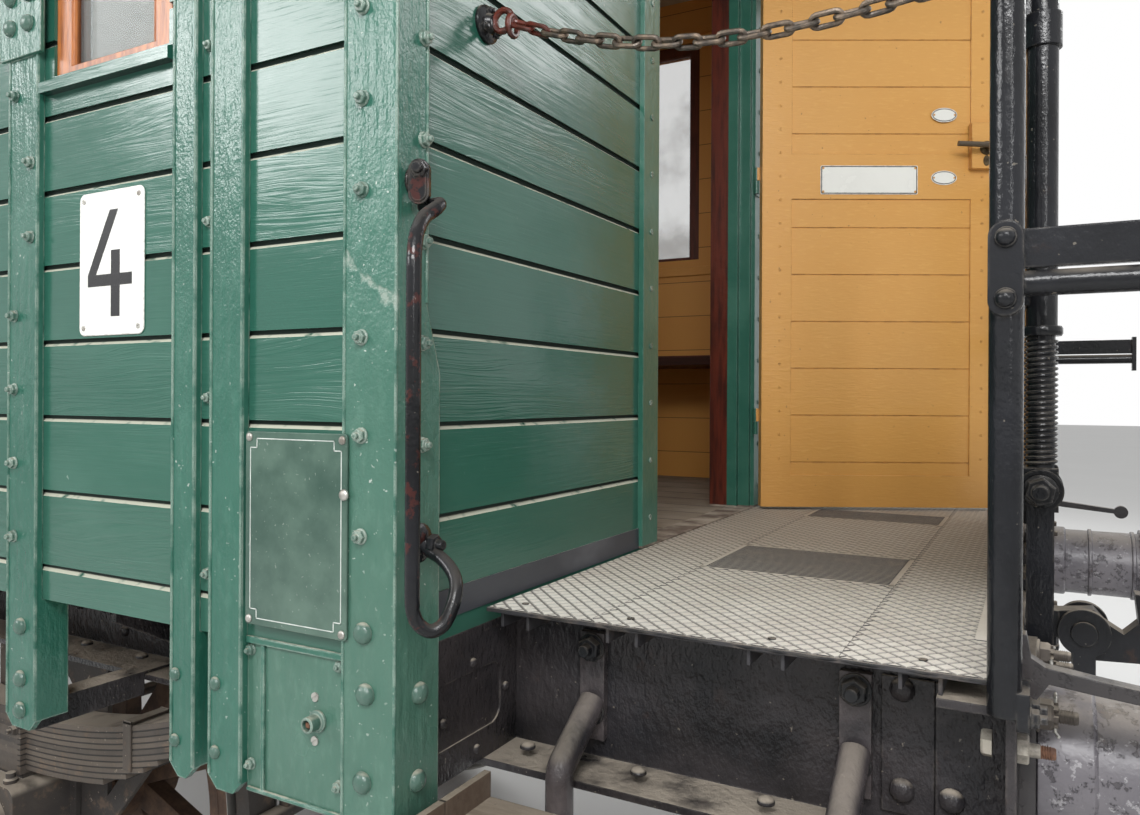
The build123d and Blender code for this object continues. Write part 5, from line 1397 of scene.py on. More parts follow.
def link_path(length, width, wire, steps=6):
    """The centre line of one oval link, long in X."""
    half = (length - width) / 2
    radius = (width - wire) / 2
    path = []
    for i in range(steps + 1):
        angle = -pi / 2 + pi * i / steps
        path.append((half + radius * cos(angle), radius * sin(angle), 0))
    for i in range(steps + 1):
        angle = pi / 2 + pi * i / steps
        path.append((-half + radius * cos(angle), radius * sin(angle), 0))
    return path


CHAIN_Y = 1.093
CHAIN_UPS = (0.940, 0.850, 0.868)
CHAIN_LOW_SHARE = 0.62


def entrance_chains():
    """A chain of oval links across each platform entrance, on a hook plate with a forged eye."""
    s = sizes()
    wire, length = s.chain_wire, s.chain_link
    width = wire * 3.1
    start, end_x = BOARD_X + 0.070, POST_X - POST_RADIUS - 0.012
    span = end_x - start

    def height(x):
        share = (x - start) / span
        if share < CHAIN_LOW_SHARE:
            drop = (1 - share / CHAIN_LOW_SHARE) ** 2 * (CHAIN_UPS[0] - CHAIN_UPS[1])
        else:
            rest = (share - CHAIN_LOW_SHARE) / (1 - CHAIN_LOW_SHARE)
            drop = rest**2 * (CHAIN_UPS[2] - CHAIN_UPS[1])
        return DECK + CHAIN_UPS[1] + drop

    chance = random.Random(s.seed + 1)
    links, first_links, plates, hooks = Shape(), Shape(), Shape(), Shape()
    path = link_path(length, width, wire)
    for mirror in MIRRORS:
        x, number = start, 0
        while x < end_x:
            slope = (height(x + 0.005) - height(x - 0.005)) / 0.010
            tilt = turned(-atan(slope), "Y")
            roll = turned(radians((90 if number % 2 else 0) + 45 + chance.uniform(-12, 12)), "X")
            place = shifted(x, -CHAIN_Y, height(x)) @ tilt @ roll
            ring_of = first_links if number < 2 else links
            ring_of.add(tube(path, wire / 2, 8, closed=True), mirror @ place)
            x += (length - 2 * wire - 0.001) / sqrt(1 + slope**2)
            number += 1
        face = (BOARD_X, -CHAIN_Y, DECK + 0.955)
        plate = facing(face, (1, 0, 0))
        boss = [(0.031, 0), (0.031, 0.005), (0.028, 0.007), (0.017, 0.009), (0.013, 0.018), (0, 0.018)]
        plates.add(lathe(boss, 28), mirror @ plate)
        for k in range(3):
            turn = radians(90 + 120 * k)
            spot = around(0.021, turn, 0.005)
            plates.add(hexagon_nut(0.013, 0.008), mirror @ plate @ spot)
        eye = [
            (BOARD_X + 0.034 + 0.017 * cos(a * pi / 8), -CHAIN_Y, DECK + 0.955 + 0.017 * sin(a * pi / 8))
            for a in range(16)
        ]
        hooks.add(tube(eye, 0.0055, 8, closed=True), mirror)
        ring = [
            (BOARD_X + 0.052, -CHAIN_Y + 0.014 * cos(a * pi / 8), DECK + 0.943 + 0.016 * sin(a * pi / 8))
            for a in range(16)
        ]
        hooks.add(tube(ring, 0.0050, 8, closed=True), mirror)
        catch = [
            (end_x + 0.004, -CHAIN_Y, height(end_x) + 0.002),
            (end_x + 0.010, -CHAIN_Y - 0.010, height(end_x) + 0.020),
            (end_x + 0.006, -CHAIN_Y - 0.022, height(end_x) + 0.010),
            (POST_X - 0.012, -POST_Y + 0.006, height(end_x) - 0.004),
        ]
        hooks.add(tube(catch, 0.005, 8), mirror)
    chain = links.build("entrance_chain_links", "chain iron", "chain_black")
    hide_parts("safety_chains")
    first_links.build("entrance_chain_first_links", "primer iron", "chain_black")
    plates.build("chain_hook_plates", "gloss black", "chain_black")
    hooks.build("chain_hooks", "primer iron", "chain_black")


# Platforms


def clipped(polygon, x, y):
    """A flat polygon cut to a rectangle."""
    for axis, limit, sign in ((0, x[0], 1), (0, x[1], -1), (1, y[0], 1), (1, y[1], -1)):
        result = []
        for i, point in enumerate(polygon):
            before = polygon[i - 1]
            inside = (point[axis] - limit) * sign >= 0
            was_inside = (before[axis] - limit) * sign >= 0
            if inside != was_inside:
                share = (limit - before[axis]) / (point[axis] - before[axis])
                result.append(tuple(b + (p - b) * share for b, p in zip(before, point)))
            if inside:
                result.append(point)
        polygon = result
        if len(polygon) < 3:
            return []
    return polygon


def tread_squares():
    """Raised squares at 45 degrees over each platform plate, round two ribbed panels."""
    pitch = sizes().tread_pitch
    rise, gap = 0.0013, 0.0034
    x0, x1 = END_X + 0.006, PLATE_EDGE_X - 0.003
    panel_x = (END_X + 0.187, END_X + 0.560)
    panel_ys = ((-0.610, -0.310), (0.250, 0.450))
    regions = [((x0, panel_x[0]), (-PLATE_EDGE_Y + 0.003, PLATE_EDGE_Y - 0.003))]
    regions.append(((panel_x[1], x1), regions[0][1]))
    edges = [-PLATE_EDGE_Y + 0.003, *[v for pair in panel_ys for v in pair], PLATE_EDGE_Y - 0.003]
    for y0, y1 in zip(edges[0::2], edges[1::2]):
        regions.append((panel_x, (y0, y1)))
    half = (pitch - gap) / 2 * sqrt(2)
    step = pitch * sqrt(2)
    for end, letter in ((1, "a"), (-1, "b")):
        squares = Shape()
        mirror = Matrix.Diagonal((end, 1, 1, 1))
        rows = int(1.2 / step) * 2 + 4
        columns = int(2 * PLATE_EDGE_Y / step) * 2 + 6
        for row in range(rows):
            for column in range(columns):
                if (row + column) % 2:
                    continue
                cx = x0 - step + row * step / 2
                cy = -PLATE_EDGE_Y - step + column * step / 2
                square = [(cx + half, cy), (cx, cy + half), (cx - half, cy), (cx, cy - half)]
                for x, y in regions:
                    piece = clipped(square, x, y)
                    if not piece:
                        continue
                    mx = sum(p[0] for p in piece) / len(piece)
                    my = sum(p[1] for p in piece) / len(piece)
                    count = len(piece)
                    points = [(px, py, DECK - 0.0002) for px, py in piece]
                    points += [
                        (mx + (px - mx) * 0.88, my + (py - my) * 0.88, DECK + rise) for px, py in piece
                    ]
                    faces = [list(range(count, 2 * count))]
                    faces += [[i, (i + 1) % count, count + (i + 1) % count, count + i] for i in range(count)]
                    squares.add((points, faces), mirror)
        squares.build(f"tread_squares_{letter}", "tread plate", "deck_steel", smooth=0)
    ribs, frames = Shape(), Shape()
    for end in (1, -1):
        mirror = Matrix.Diagonal((end, 1, 1, 1))
        for y0, y1 in panel_ys:
            count = int((y1 - y0 - 0.02) / 0.0115)
            for i in range(count):
                y = y0 + 0.010 + (i + 0.5) * (y1 - y0 - 0.02) / count
                ribs.add(
                    cuboid(
                        (panel_x[0] + 0.012, panel_x[1] - 0.012), (y - 0.0018, y + 0.0018),
                        (DECK, DECK + 0.0016),
                    ),
                    mirror,
                )
            for x, y in (
                ((panel_x[0], panel_x[0] + 0.010), (y0, y1)),
                ((panel_x[1] - 0.010, panel_x[1]), (y0, y1)),
                (panel_x, (y0, y0 + 0.008)),
                (panel_x, (y1 - 0.008, y1)),
            ):
                frames.add(cuboid(x, y, (DECK - 0.0002, DECK + 0.0012)), mirror)
    ribs.build("scraper_ribs", "tread plate", "deck_steel", smooth=0)
    frames.build("scraper_frames", "tread plate", "deck_steel", smooth=0)


def platform_edges():
    """A worn rolled edge along each plate, its cover strips and screws."""
    edge, screws, covers = Shape(), Shape(), Shape()
    for mirror in MIRRORS:
        y = -PLATE_EDGE_Y + 0.0025
        chance = random.Random(5)
        path = [
            (END_X + 0.006 + 0.742 * i / 36, y + chance.uniform(-0.0008, 0.0008), DECK - 0.0028)
            for i in range(37)
        ]
        edge.add(tube(path, 0.0031, 8), mirror)
        for x in (0.05, 0.24, 0.46, 0.66):
            screws.add(
                slotted_screw(0.012),
                mirror @ facing((END_X + x, -PLATE_EDGE_Y + 0.045, DECK + 0.0010), (0, 0, 1), x * 9),
            )
        cover = slab(rounded(0.038, 0.432, 0.004), 0.0016, DECK + 0.0009)
        screws.add(slotted_screw(0.010), mirror @ shifted(END_X + 0.731, -0.50, DECK + 0.0024))
        covers.add(cover, mirror @ shifted(END_X + 0.731, -0.707, 0))
    edge.build("plate_edges", "satin black", "deck_steel")
    covers.build("plate_covers", "tread plate", "deck_steel", smooth=0)
    screws.build("plate_screws", "satin black", "deck_steel")


def railing_fittings():
    """Domed bolts through the clamp plates of the platform posts, nuts at their feet, rivets on the rails."""
    bolts = Shape()
    for mirror in MIRRORS:
        outside = -POST_Y - POST_RADIUS - 0.006
        for up in (0.4600, 0.5310):
            place = mirror @ facing((POST_X, outside, DECK + up), (0, -1, 0), up)
            bolts.add(lathe([(0.0125, 0), (0.0125, 0.0025), (0.0115, 0.0040)], 24), place)
            bolts.add(domed_head(0.021, 0.42), place @ shifted(0, 0, 0.003))
        for z, y in ((DECK - 0.030, -POST_Y), (DECK - 0.030, -POST_Y + 0.036)):
            bolts.add(hexagon_nut(0.019, 0.011), mirror @ end_on(HEADSTOCK_FACE + 0.014, y, z, 0.3))
        for up in (0.52, 0.995):
            for share in (0.3, 0.62, 1):
                y = -POST_Y + (-0.420 + POST_Y) * share - (0.025 if share == 1 else 0.0125)
                bolts.add(domed_head(0.018), mirror @ end_on(END_X + 0.762, y, DECK + up))
    bolts.build("railing_bolts", "gloss black", "iron_black")


# One handrail's bent bar, measured out from the corner of the body: X, Y, height above the deck
HANDRAIL_HOOK = (
    (0.010, 0.042, 0.616), (0.030, 0.042, 0.616), (0.043, 0.040, 0.616), (0.048, 0.034, 0.612),
    (0.047, 0.024, 0.604), (0.044, 0.010, 0.594), (0.046, -0.005, 0.580), (0.049, -0.018, 0.560),
    (0.053, -0.027, 0.530), (0.055, -0.030, 0.490),
)
HANDRAIL_FOOT = (
    (0.055, -0.030, 0.200), (0.055, -0.030, 0.075), (0.056, -0.028, 0.050), (0.062, -0.022, 0.034),
    (0.073, -0.012, 0.026), (0.084, 0.000, 0.033), (0.089, 0.010, 0.050), (0.089, 0.021, 0.070),
    (0.082, 0.031, 0.087), (0.067, 0.039, 0.101), (0.047, 0.045, 0.112), (0.026, 0.050, 0.120),
    (0.014, 0.051, 0.130),
)


def handrail_fittings():
    """The bent bar of each handrail, with the forged plates, bolts and nuts at both its ends."""
    forged, bars = Shape(), Shape()
    grip, loop = 0.0105, 0.0098
    for mirror in MIRRORS:
        corner = Vector((END_X, -SIDE_Y, DECK))
        path = rounded_path([corner + Vector(p) for p in (*HANDRAIL_HOOK, *HANDRAIL_FOOT)])
        radii = []
        for p in path:
            held = p.z > DECK + 0.060 and p.x < END_X + 0.060 and p.y < -SIDE_Y + 0.030
            radii.append(grip if held else loop)
        swell = 8
        for i in range(swell):
            radii[-1 - i] = loop + 0.0035 * (1 - i / swell)
        bars.add(tube(path, radii, 16), mirror)
        top_y, foot_y = -SIDE_Y + 0.040, -SIDE_Y + 0.051
        lug = mirror @ facing((END_X + 0.020, top_y - 0.0125, DECK + 0.646), (0.35, -1, 0))
        forged.add(slab(rounded(0.031, 0.064, 0.0154, 8), 0.009), lug)
        forged.add(slab(rounded(0.024, 0.057, 0.0119, 8), 0.003, 0.0085), lug)
        bolt = lug @ shifted(0.002, 0.016, 0.010)
        forged.add(lathe([(0.0125, 0), (0.0125, 0.006), (0.0110, 0.007)], 6), bolt)
        forged.add(lathe([(0.0075, 0.006), (0.0075, 0.015), (0.0060, 0.0165), (0, 0.0165)], 16), bolt)
        forged.add(
            lathe([(0.024, 0), (0.024, 0.003), (0.016, 0.008), (0.013, 0.014), (0, 0.014)], 20),
            mirror @ end_on(END_X, top_y, DECK + 0.650),
        )
        forged.add(
            lathe([(0.029, 0), (0.029, 0.004), (0.020, 0.010), (0, 0.010)], 20),
            mirror @ end_on(END_X, foot_y, DECK + 0.130),
        )
        forged.add(
            hexagon_nut(0.026, 0.015, washer=False), mirror @ end_on(END_X + 0.024, foot_y, DECK + 0.130, 0.3)
        )
    forged.build("handrail_eyes", "handrail black", "rail_black")
    rails = bars.build("handrail_bars", "handrail black", "rail_black")
    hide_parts("handrails")


# Windows


def window_trim():
    """Beads round each pane and a drip strip over each opening."""
    beads, drips = Shape(), Shape()
    inset = 0.045
    for place in WINDOW_PLACES:
        middle = END_X - place
        x = (middle - WINDOW_HALF + inset, middle + WINDOW_HALF - inset)
        z = (DECK + WINDOW_UPS[0] + WINDOW_FOOT_BAR, DECK + WINDOW_UPS[1] - inset)
        for side in (-1, 1):
            for depth in (0.012, 0.036):
                y = side * (BOARD_Y - depth)
                for path in (
                    [(x[0], y, z[0]), (x[0], y, z[1])],
                    [(x[1], y, z[0]), (x[1], y, z[1])],
                    [(x[0], y, z[1]), (x[1], y, z[1])],
                ):
                    beads.add(tube(path, 0.007, 8))
            outer = side * (BOARD_Y + 0.0015)
            drips.add(
                tube(
                    [
                        (middle - WINDOW_HALF - 0.012, outer, DECK + WINDOW_UPS[1] + 0.010),
                        (middle + WINDOW_HALF + 0.012, outer, DECK + WINDOW_UPS[1] + 0.010),
                    ],
                    0.010, 10,
                )
            )
    beads.build("window_beads", "window wood", "window_brown")
    drips.build("window_drips", "green steel", "post_green")


# Underframe


def threaded_end(shape, place, radius, start, length):
    """A bolt end with its thread, along the place's own +Z."""
    shape.add(
        lathe(
            [
                (radius * 0.86, start), (radius * 0.86, start + length - 0.002),
                (radius * 0.7, start + length), (0, start + length),
            ],
            16,
        ),
        place,
    )
    pitch, segments = radius * 0.32, 12
    turns = (length - 0.005) / pitch
    thread = helix(radius * 0.88, start + 0.0015, pitch, int(turns * segments), segments)
    shape.add(tube(thread, pitch * 0.34, 5), place)


def castle_nut(shape, pins, place, flats, bolt):
    """A nut with a crown of slots on a washer, and a split pin through them."""
    shape.add(lathe([(flats * 0.70, 0), (flats * 0.70, 0.003), (flats * 0.66, 0.004)], 24), place)
    across = flats / sqrt(3)
    thick = flats * 0.5
    shape.add(lathe([(across, 0.004), (across, thick), (across * 0.86, thick + 0.003)], 6), place)
    for k in range(6):
        tooth = cuboid(
            (bolt * 0.5, flats * 0.46), (-flats * 0.11, flats * 0.11), (thick, thick + flats * 0.24)
        )
        shape.add(tooth, place @ turned(k * pi / 3))
    level = thick + flats * 0.14
    reach = flats * 0.62
    pins.add(
        tube(
            [
                (-reach, 0.001, level), (0, 0, level), (reach, -0.001, level),
                (reach + 0.006, -0.005, level + 0.004),
            ],
            0.0021, 6,
        ),
        place,
    )
    pins.add(
        tube(
            [
                (-reach, 0.001, level), (-reach - 0.004, 0.004, level), (-reach - 0.007, 0, level),
                (-reach - 0.004, -0.004, level),
            ],
            0.0021, 6,
        ),
        place,
    )


def headstock_fittings():
    """Rivets, nuts and castellated nuts with split pins on the headstocks."""
    rivets, nuts, pins, rusty, pale = Shape(), Shape(), Shape(), Shape(), Shape()
    dome = domed_head(0.034)
    face = HEADSTOCK_FACE
    rows = (SOLEBAR_FOOT + 0.045, SOLEBAR_TOP - 0.045)
    for end in (1, -1):
        mirror = Matrix.Diagonal((end, 1, 1, 1))
        for side in (-1, 1):
            for y in (0.19, 0.30, 0.48, 0.62):
                for z in rows:
                    rivets.add(dome, mirror @ end_on(face, side * y, z))
            for y, z in (
                (0.755, BUFFER_Z - 0.115), (0.990, BUFFER_Z - 0.115), (0.755, DECK - 0.066),
                (0.990, DECK - 0.066),
            ):
                place = mirror @ end_on(face + 0.020, side * y, z, z * 9)
                castle_nut(nuts, pins, place, 0.034, 0.020)
                threaded_end(nuts, place, 0.0095, 0.017, 0.031)
            place = mirror @ end_on(face + 0.020, side * 0.990, DECK + 0.012, 0.4)
            castle_nut(nuts, pins, place, 0.026, 0.016)
            threaded_end(nuts, place, 0.0075, 0.013, 0.026)
            place = mirror @ end_on(face, side * 1.066, DECK - 0.089, 0.1)
            pale.add(hexagon_nut(0.031, 0.017, washer=False), place)
            threaded_end(rusty, place, 0.0085, 0.012, 0.030)
            inside = mirror @ facing((face - 0.028, side * 1.066, DECK - 0.089), (-1, 0, 0), 0.5)
            pale.add(lathe([(0.0175, 0), (0.0175, 0.010), (0.0150, 0.013), (0, 0.013)], 6), inside)
            for z in (BUFFER_Z - 0.055, BUFFER_Z + 0.055):
                nuts.add(hexagon_nut(0.030, 0.018), mirror @ end_on(face + 0.014, side * 0.075, z, z * 5))
    rivets.build("headstock_rivets", "underframe", "frame_black")
    nuts.build("headstock_nuts", "dusty iron", "frame_black")
    pins.build("split_pins", "bright steel", "iron_black")
    pale.build("headstock_end_nuts", "pale iron", "iron_black")
    rusty.build("headstock_bolt_ends", "rusty iron", "iron_black")


def solebar_fittings():
    """Rivets along the solebars, nuts on the step straps, and the plates near the headstocks."""
    rivets, nuts, plates = Shape(), Shape(), Shape()
    dome = domed_head(0.026)
    big_dome = domed_head(0.034)
    web = SOLEBAR_WEB_Y
    for side in (-1, 1):
        for i in range(28):
            x = -4.05 + i * 0.30
            for z in (SOLEBAR_FOOT + 0.052, SOLEBAR_TOP - 0.052):
                rivets.add(dome, side_on(side, x, side * web, z))
        for i in range(50):
            rivets.add(
                dome, facing((-4.90 + i * 0.20, side * (web + 0.062), SOLEBAR_FOOT + 0.028), (0, 0, 1))
            )
        for centre in (-AXLE_X, AXLE_X):
            for shift in (-0.55, -0.46, -0.30, -0.18, 0.18, 0.30, 0.46, 0.55):
                for z in (SOLEBAR_FOOT + 0.100, SOLEBAR_TOP - 0.090):
                    nuts.add(
                        hexagon_nut(0.026, 0.015), side_on(side, centre + shift, side * web, z, shift * 4)
                    )
    for end, side in CORNERS:
        for reach in (0.144, 0.564):
            for up in (-0.070, -0.175):
                place = side_on(side, end * (END_X + reach), side * (web + 0.014), DECK + up, up * 8)
                nuts.add(lathe([(0.0235, 0), (0.0235, 0.003), (0.0225, 0.004)], 28), place)
                nuts.add(hexagon_nut(0.034, 0.020, washer=False), place @ shifted(0, 0, 0.004))
        mirror = corner_matrix(end, side)
        lapped = cuboid(
            (END_X + 0.598, END_X + 0.668), (-web - 0.006, -web), (SOLEBAR_FOOT + 0.030, SOLEBAR_TOP - 0.014)
        )
        plates.add(lapped, mirror)
        angle = cuboid(
            (END_X + 0.669, END_X + 0.7575), (-web - 0.010, -web), (SOLEBAR_FOOT + 0.016, SOLEBAR_TOP - 0.014)
        )
        plates.add(angle, mirror)
        for x, up, lift in (
            (0.626, -0.062, 0.006), (0.626, -0.202, 0.006), (0.690, -0.201, 0.010), (0.708, -0.058, 0.010)
        ):
            rivets.add(big_dome, mirror @ facing((END_X + x, -web - lift, DECK + up), (0, -1, 0)))
        for y, up in ((-1.121, -0.088), (-1.025, -0.153), (-1.110, -0.2315), (-1.201, -0.161)):
            rivets.add(domed_head(0.016), mirror @ end_on(BOARD_X, y, DECK + up))
    rivets.build("solebar_rivets", "underframe", "frame_black")
    nuts.build("solebar_nuts", "gloss black", "frame_black")
    plates.build("solebar_end_plates", "underframe", "frame_black", bevel=0.0015)


def axle_box_fittings():
    """Covers, lid nuts and oil caps of the axle boxes, spring clips and the nuts of the spring straps."""
    covers, nuts, clips = Shape(), Shape(), Shape()
    for end, side in CORNERS:
        face = side * 1.128
        centre = Vector((end * AXLE_X, face, AXLE_Z))
        place = facing(centre, (0, side, 0))
        covers.add(
            lathe(
                [(0.090, -0.002), (0.086, 0.006), (0.070, 0.010), (0.060, 0.020), (0.040, 0.026), (0, 0.028)],
                36,
            ),
            place,
        )
        for k in range(6):
            angle = k * pi / 3 + 0.3
            spot = place @ around(0.074, angle, 0.008)
            nuts.add(hexagon_nut(0.016, 0.009), spot)
        covers.add(
            lathe([(0.016, 0), (0.016, 0.012), (0.011, 0.016), (0.011, 0.028), (0, 0.030)], 16),
            facing((end * AXLE_X + 0.055, side * 1.085, AXLE_Z + 0.108), (0, 0, 1)),
        )
        for shift in (-0.042, 0.042):
            nuts.add(
                hexagon_nut(0.026, 0.015),
                facing((end * AXLE_X + shift, side * 1.010, SPRING_TOP + 0.022), (0, 0, 1), 0.2),
            )
            nuts.add(
                hexagon_nut(0.022, 0.012),
                side_on(side, end * AXLE_X + shift, side * 1.069, SPRING_TOP - 0.03, 0.4),
            )
        for reach in (0.46, -0.46):
            x = end * AXLE_X + reach
            z = SPRING_TOP + SPRING_CAMBER * (reach / 0.75) ** 2
            y0, y1 = sorted((side * 0.961, side * 1.059))
            low_z, high_z = z - 0.100, z + 0.012
            for y, height in (
                ((y0, y0 + 0.005), (low_z, high_z)), ((y1 - 0.005, y1), (low_z, high_z)),
                ((y0, y1), (z + 0.004, z + 0.010)),
            ):
                clips.add(cuboid((x - 0.014, x + 0.014), y, height))
    covers.build("axle_box_covers", "dusty iron", "iron_black")
    nuts.build("axle_box_nuts", "dusty iron", "iron_black")
    clips.build("spring_clips", "dusty iron", "iron_black", bevel=0.0012)


WHEEL_FACE_Y = 0.815
HUB_FACE_Y = 0.8355
TYRE_LINE = 0.924


def wheel_fittings():
    """Tyre lines, and rivets round the rims and hubs of the wheels."""
    for letter, centre in (("a", AXLE_X), ("b", -AXLE_X)):
        rivets, rings = Shape(), Shape()
        for side in (-1, 1):
            face = side * WHEEL_FACE_Y
            for k in range(10):
                angle = radians(36 * k + 18)
                spot = (centre + 0.452 * cos(angle), face, AXLE_Z + 0.452 * sin(angle))
                rivets.add(domed_head(0.022), facing(spot, (0, side, 0)))
            tyre = [(centre + x, face, AXLE_Z + z) for x, z in oval(TYRE_LINE, TYRE_LINE, 96)]
            rings.add(tube(tyre, 0.0022, 6, closed=True))
            hub = side_on(side, centre, side * HUB_FACE_Y, AXLE_Z)
            for k in range(6):
                angle = k * pi / 3
                rivets.add(domed_head(0.016), hub @ around(0.097, angle, -0.001))
        rivets.build(f"wheel_{letter}_rivets", "wheel steel", "wheel_steel", "wheelset_" + letter)
        rings.build(f"wheel_{letter}_tyre_lines", "wheel steel", "wheel_steel", "wheelset_" + letter)


def buffer_fittings():
    """The stepped collar and the rings round each buffer barrel."""
    rings = Shape()
    barrel = 0.098
    for mirror in MIRRORS:
        collar = [
            (barrel, 0), (barrel + 0.007, 0.002), (barrel + 0.007, 0.066), (barrel + 0.003, 0.070),
            (barrel, 0.071),
        ]
        rings.add(lathe(collar, 64), mirror @ end_on(HEADSTOCK_FACE + 0.020, -BUFFER_Y, BUFFER_Z))
        for x in (0.150, 0.262):
            ring = [(barrel, 0), (barrel + 0.005, 0.002), (barrel + 0.005, 0.010), (barrel, 0.012)]
            rings.add(lathe(ring, 64), mirror @ end_on(HEADSTOCK_FACE + x, -BUFFER_Y, BUFFER_Z))
    rings.build("buffer_rings", "peeling grey", "iron_black")


# Brakes


def brake_fittings():
    """The thread of the handbrake screw, its stop collar and nuts, and the pipe cocks with their handles."""
    thread = Shape()
    x, y = END_X + 0.793, -0.638
    low_up, high_up, pitch = 0.232, 0.446, 0.009
    steps = int((high_up - low_up) / pitch * 14)
    thread.add(tube(helix(0.0225, DECK + low_up, pitch, steps + 1, 14), 0.0030, 6), shifted(x, y, 0))
    thread.add(
        lathe([(0.030, 0), (0.032, 0.004), (0.032, 0.012), (0.030, 0.016)], 24), shifted(x, y, DECK + 0.448)
    )
    for side in (-1, 1):
        thread.add(hexagon_nut(0.040, 0.024), side_on(side, x, y + side * 0.052, DECK + 0.195, 0.3))
    thread.build("handbrake_thread", "gloss black", "iron_black")
    handle, cock = Shape(), Shape()
    pipe_z = SOLEBAR_FOOT - 0.022
    for end in (1, -1):
        cx, cy = end * (HEADSTOCK_FACE + 0.036), 0.300
        place = shifted(cx, cy, pipe_z + 0.060)
        cock.add(
            lathe(
                [(0.022, -0.004), (0.030, 0.0), (0.030, 0.012), (0.020, 0.018), (0.012, 0.030), (0, 0.032)],
                20,
            ),
            place @ turned(end * pi / 2, "Y"),
        )
        path = [
            (cx + end * 0.030, cy, pipe_z + 0.060), (cx + end * 0.036, cy - 0.03, pipe_z + 0.075),
            (cx + end * 0.036, cy - 0.08, pipe_z + 0.100), (cx + end * 0.036, cy - 0.125, pipe_z + 0.115),
        ]
        handle.add(tube(path, [0.007, 0.008, 0.010, 0.008], 10))
        for z in (pipe_z - 0.015, pipe_z + 0.045):
            cock.add(
                lathe([(0.0262, 0), (0.031, 0.002), (0.031, 0.010), (0.0262, 0.012)], 20), shifted(cx, cy, z)
            )
    cock.build("pipe_cocks", "satin black", "iron_black")
    handle.build("cock_handles", "red handle", "iron_black")


# Roof and inside


ROOF_HALF_WIDTH = 1.400
ROOF_RISE = 0.270
ROOF_THICKNESS = 0.040


def roof_trim():
    """Seams across the canvas, and a metal strip all round the edge of the roof."""
    seams, strips = Shape(), Shape()
    radius = (ROOF_HALF_WIDTH**2 + ROOF_RISE**2) / (2 * ROOF_RISE)
    centre = EAVES + ROOF_RISE - radius
    limit = high("roof").x

    def across(x, half, lift):
        ys = [-half + 2 * half * k / 28 for k in range(29)]
        return [(x, y, centre + sqrt((radius + lift) ** 2 - y * y)) for y in ys]

    for i in range(9):
        x = -limit + 0.35 + i * (2 * limit - 0.7) / 8
        seams.add(tube(across(x, 1.385, ROOF_THICKNESS - 0.0005), 0.004, 6))
    for side in (-1, 1):
        y = side * 1.372
        z = centre + sqrt((radius + ROOF_THICKNESS) ** 2 - y * y)
        path = [(-limit + 0.02 + i * (2 * limit - 0.04) / 30, y, z) for i in range(31)]
        strips.add(tube(path, 0.009, 8))
    for end in (-1, 1):
        strips.add(tube(across(end * (limit - 0.012), 1.372, ROOF_THICKNESS), 0.009, 8))
    seams.build("roof_seams", "roof canvas", "roof_grey")
    strips.build("roof_strips", "roof metal", "roof_metal")


def inside_trim():
    """Slats on the benches, rails on the inner walls and two lamps under the roof."""
    rails, lamps, slats = Shape(), Shape(), Shape()
    inner = BOARD_Y - LINING
    for side in (-1, 1):
        y = side * (inner - 0.006)
        for up in (0.890, 1.930):
            rails.add(
                cuboid(
                    (-BOARD_X + LINING, BOARD_X - LINING), sorted((y, side * inner)),
                    (DECK + up - 0.02, DECK + up + 0.02),
                )
            )
    for far_end, near_end in ((4.9, 3.35), (3.15, 1.8), (1.6, 0.25)):
        for side in (-1, 1):
            for k in range(5):
                y = side * (inner - 0.400 + 0.02 + k * 0.078)
                slats.add(
                    cuboid(
                        (END_X - far_end + 0.01, END_X - near_end - 0.01), sorted((y, y + side * 0.066)),
                        (DECK + 0.4995, DECK + 0.506),
                    )
                )
    for x in (1.9, -2.6):
        place = shifted(x, 0, EAVES + 0.20) @ turned(pi, "X")
        lamps.add(
            lathe([(0.05, -0.068), (0.05, -0.02), (0.09, 0.0), (0.085, 0.03), (0.06, 0.07), (0, 0.09)], 28),
            place,
        )
    rails.build("inner_rails", "ochre boards", "end_ochre", bevel=0.003)
    slats.build("bench_slats", "red bench wood", "bench_wood", bevel=0.002)
    lamps.build("ceiling_lamps", "white enamel", "end_ochre")


# Stage


# Name, place, what it shines at, width and height, watts
LAMPS = (
    ("key", (6.5, -7.5, 6.5), (3.5, -0.5, 1.6), (5.0, 5.0), 145),
    ("platform", (5.3, -3.6, 3.6), (4.7, -0.8, 1.24), (1.5, 0.7), 72),
    ("slit", (7.6, -5.2, 3.4), (5.0, -1.1, 1.7), (0.35, 2.6), 40),
    ("tall window", (-1.8, -7.0, 5.1), (3.0, -1.3, 1.9), (2.8, 2.2), 190),
    ("high window", (-5.2, -7.0, 6.2), (3.0, -1.3, 1.9), (2.6, 1.0), 70),
    ("end", (10.5, 7.5, 7.4), (4.3, -0.8, 2.0), (4.0, 2.4), 150),
    ("far side", (0.0, 9.0, 6.0), (0.0, 1.0, 1.5), (7.0, 7.0), 300),
    ("top", (0.0, 0.0, 10.0), (0.0, 0.0, 2.0), (8.0, 8.0), 380),
    ("room", (1.8, 0.0, 3.30), (1.8, 0.0, 1.3), (1.4, 1.4), 11),
)
EYE = (5.045, -2.272, 1.581)
LOOKING = (-0.480, 0.877, 0)
LEAN = radians(-0.3)


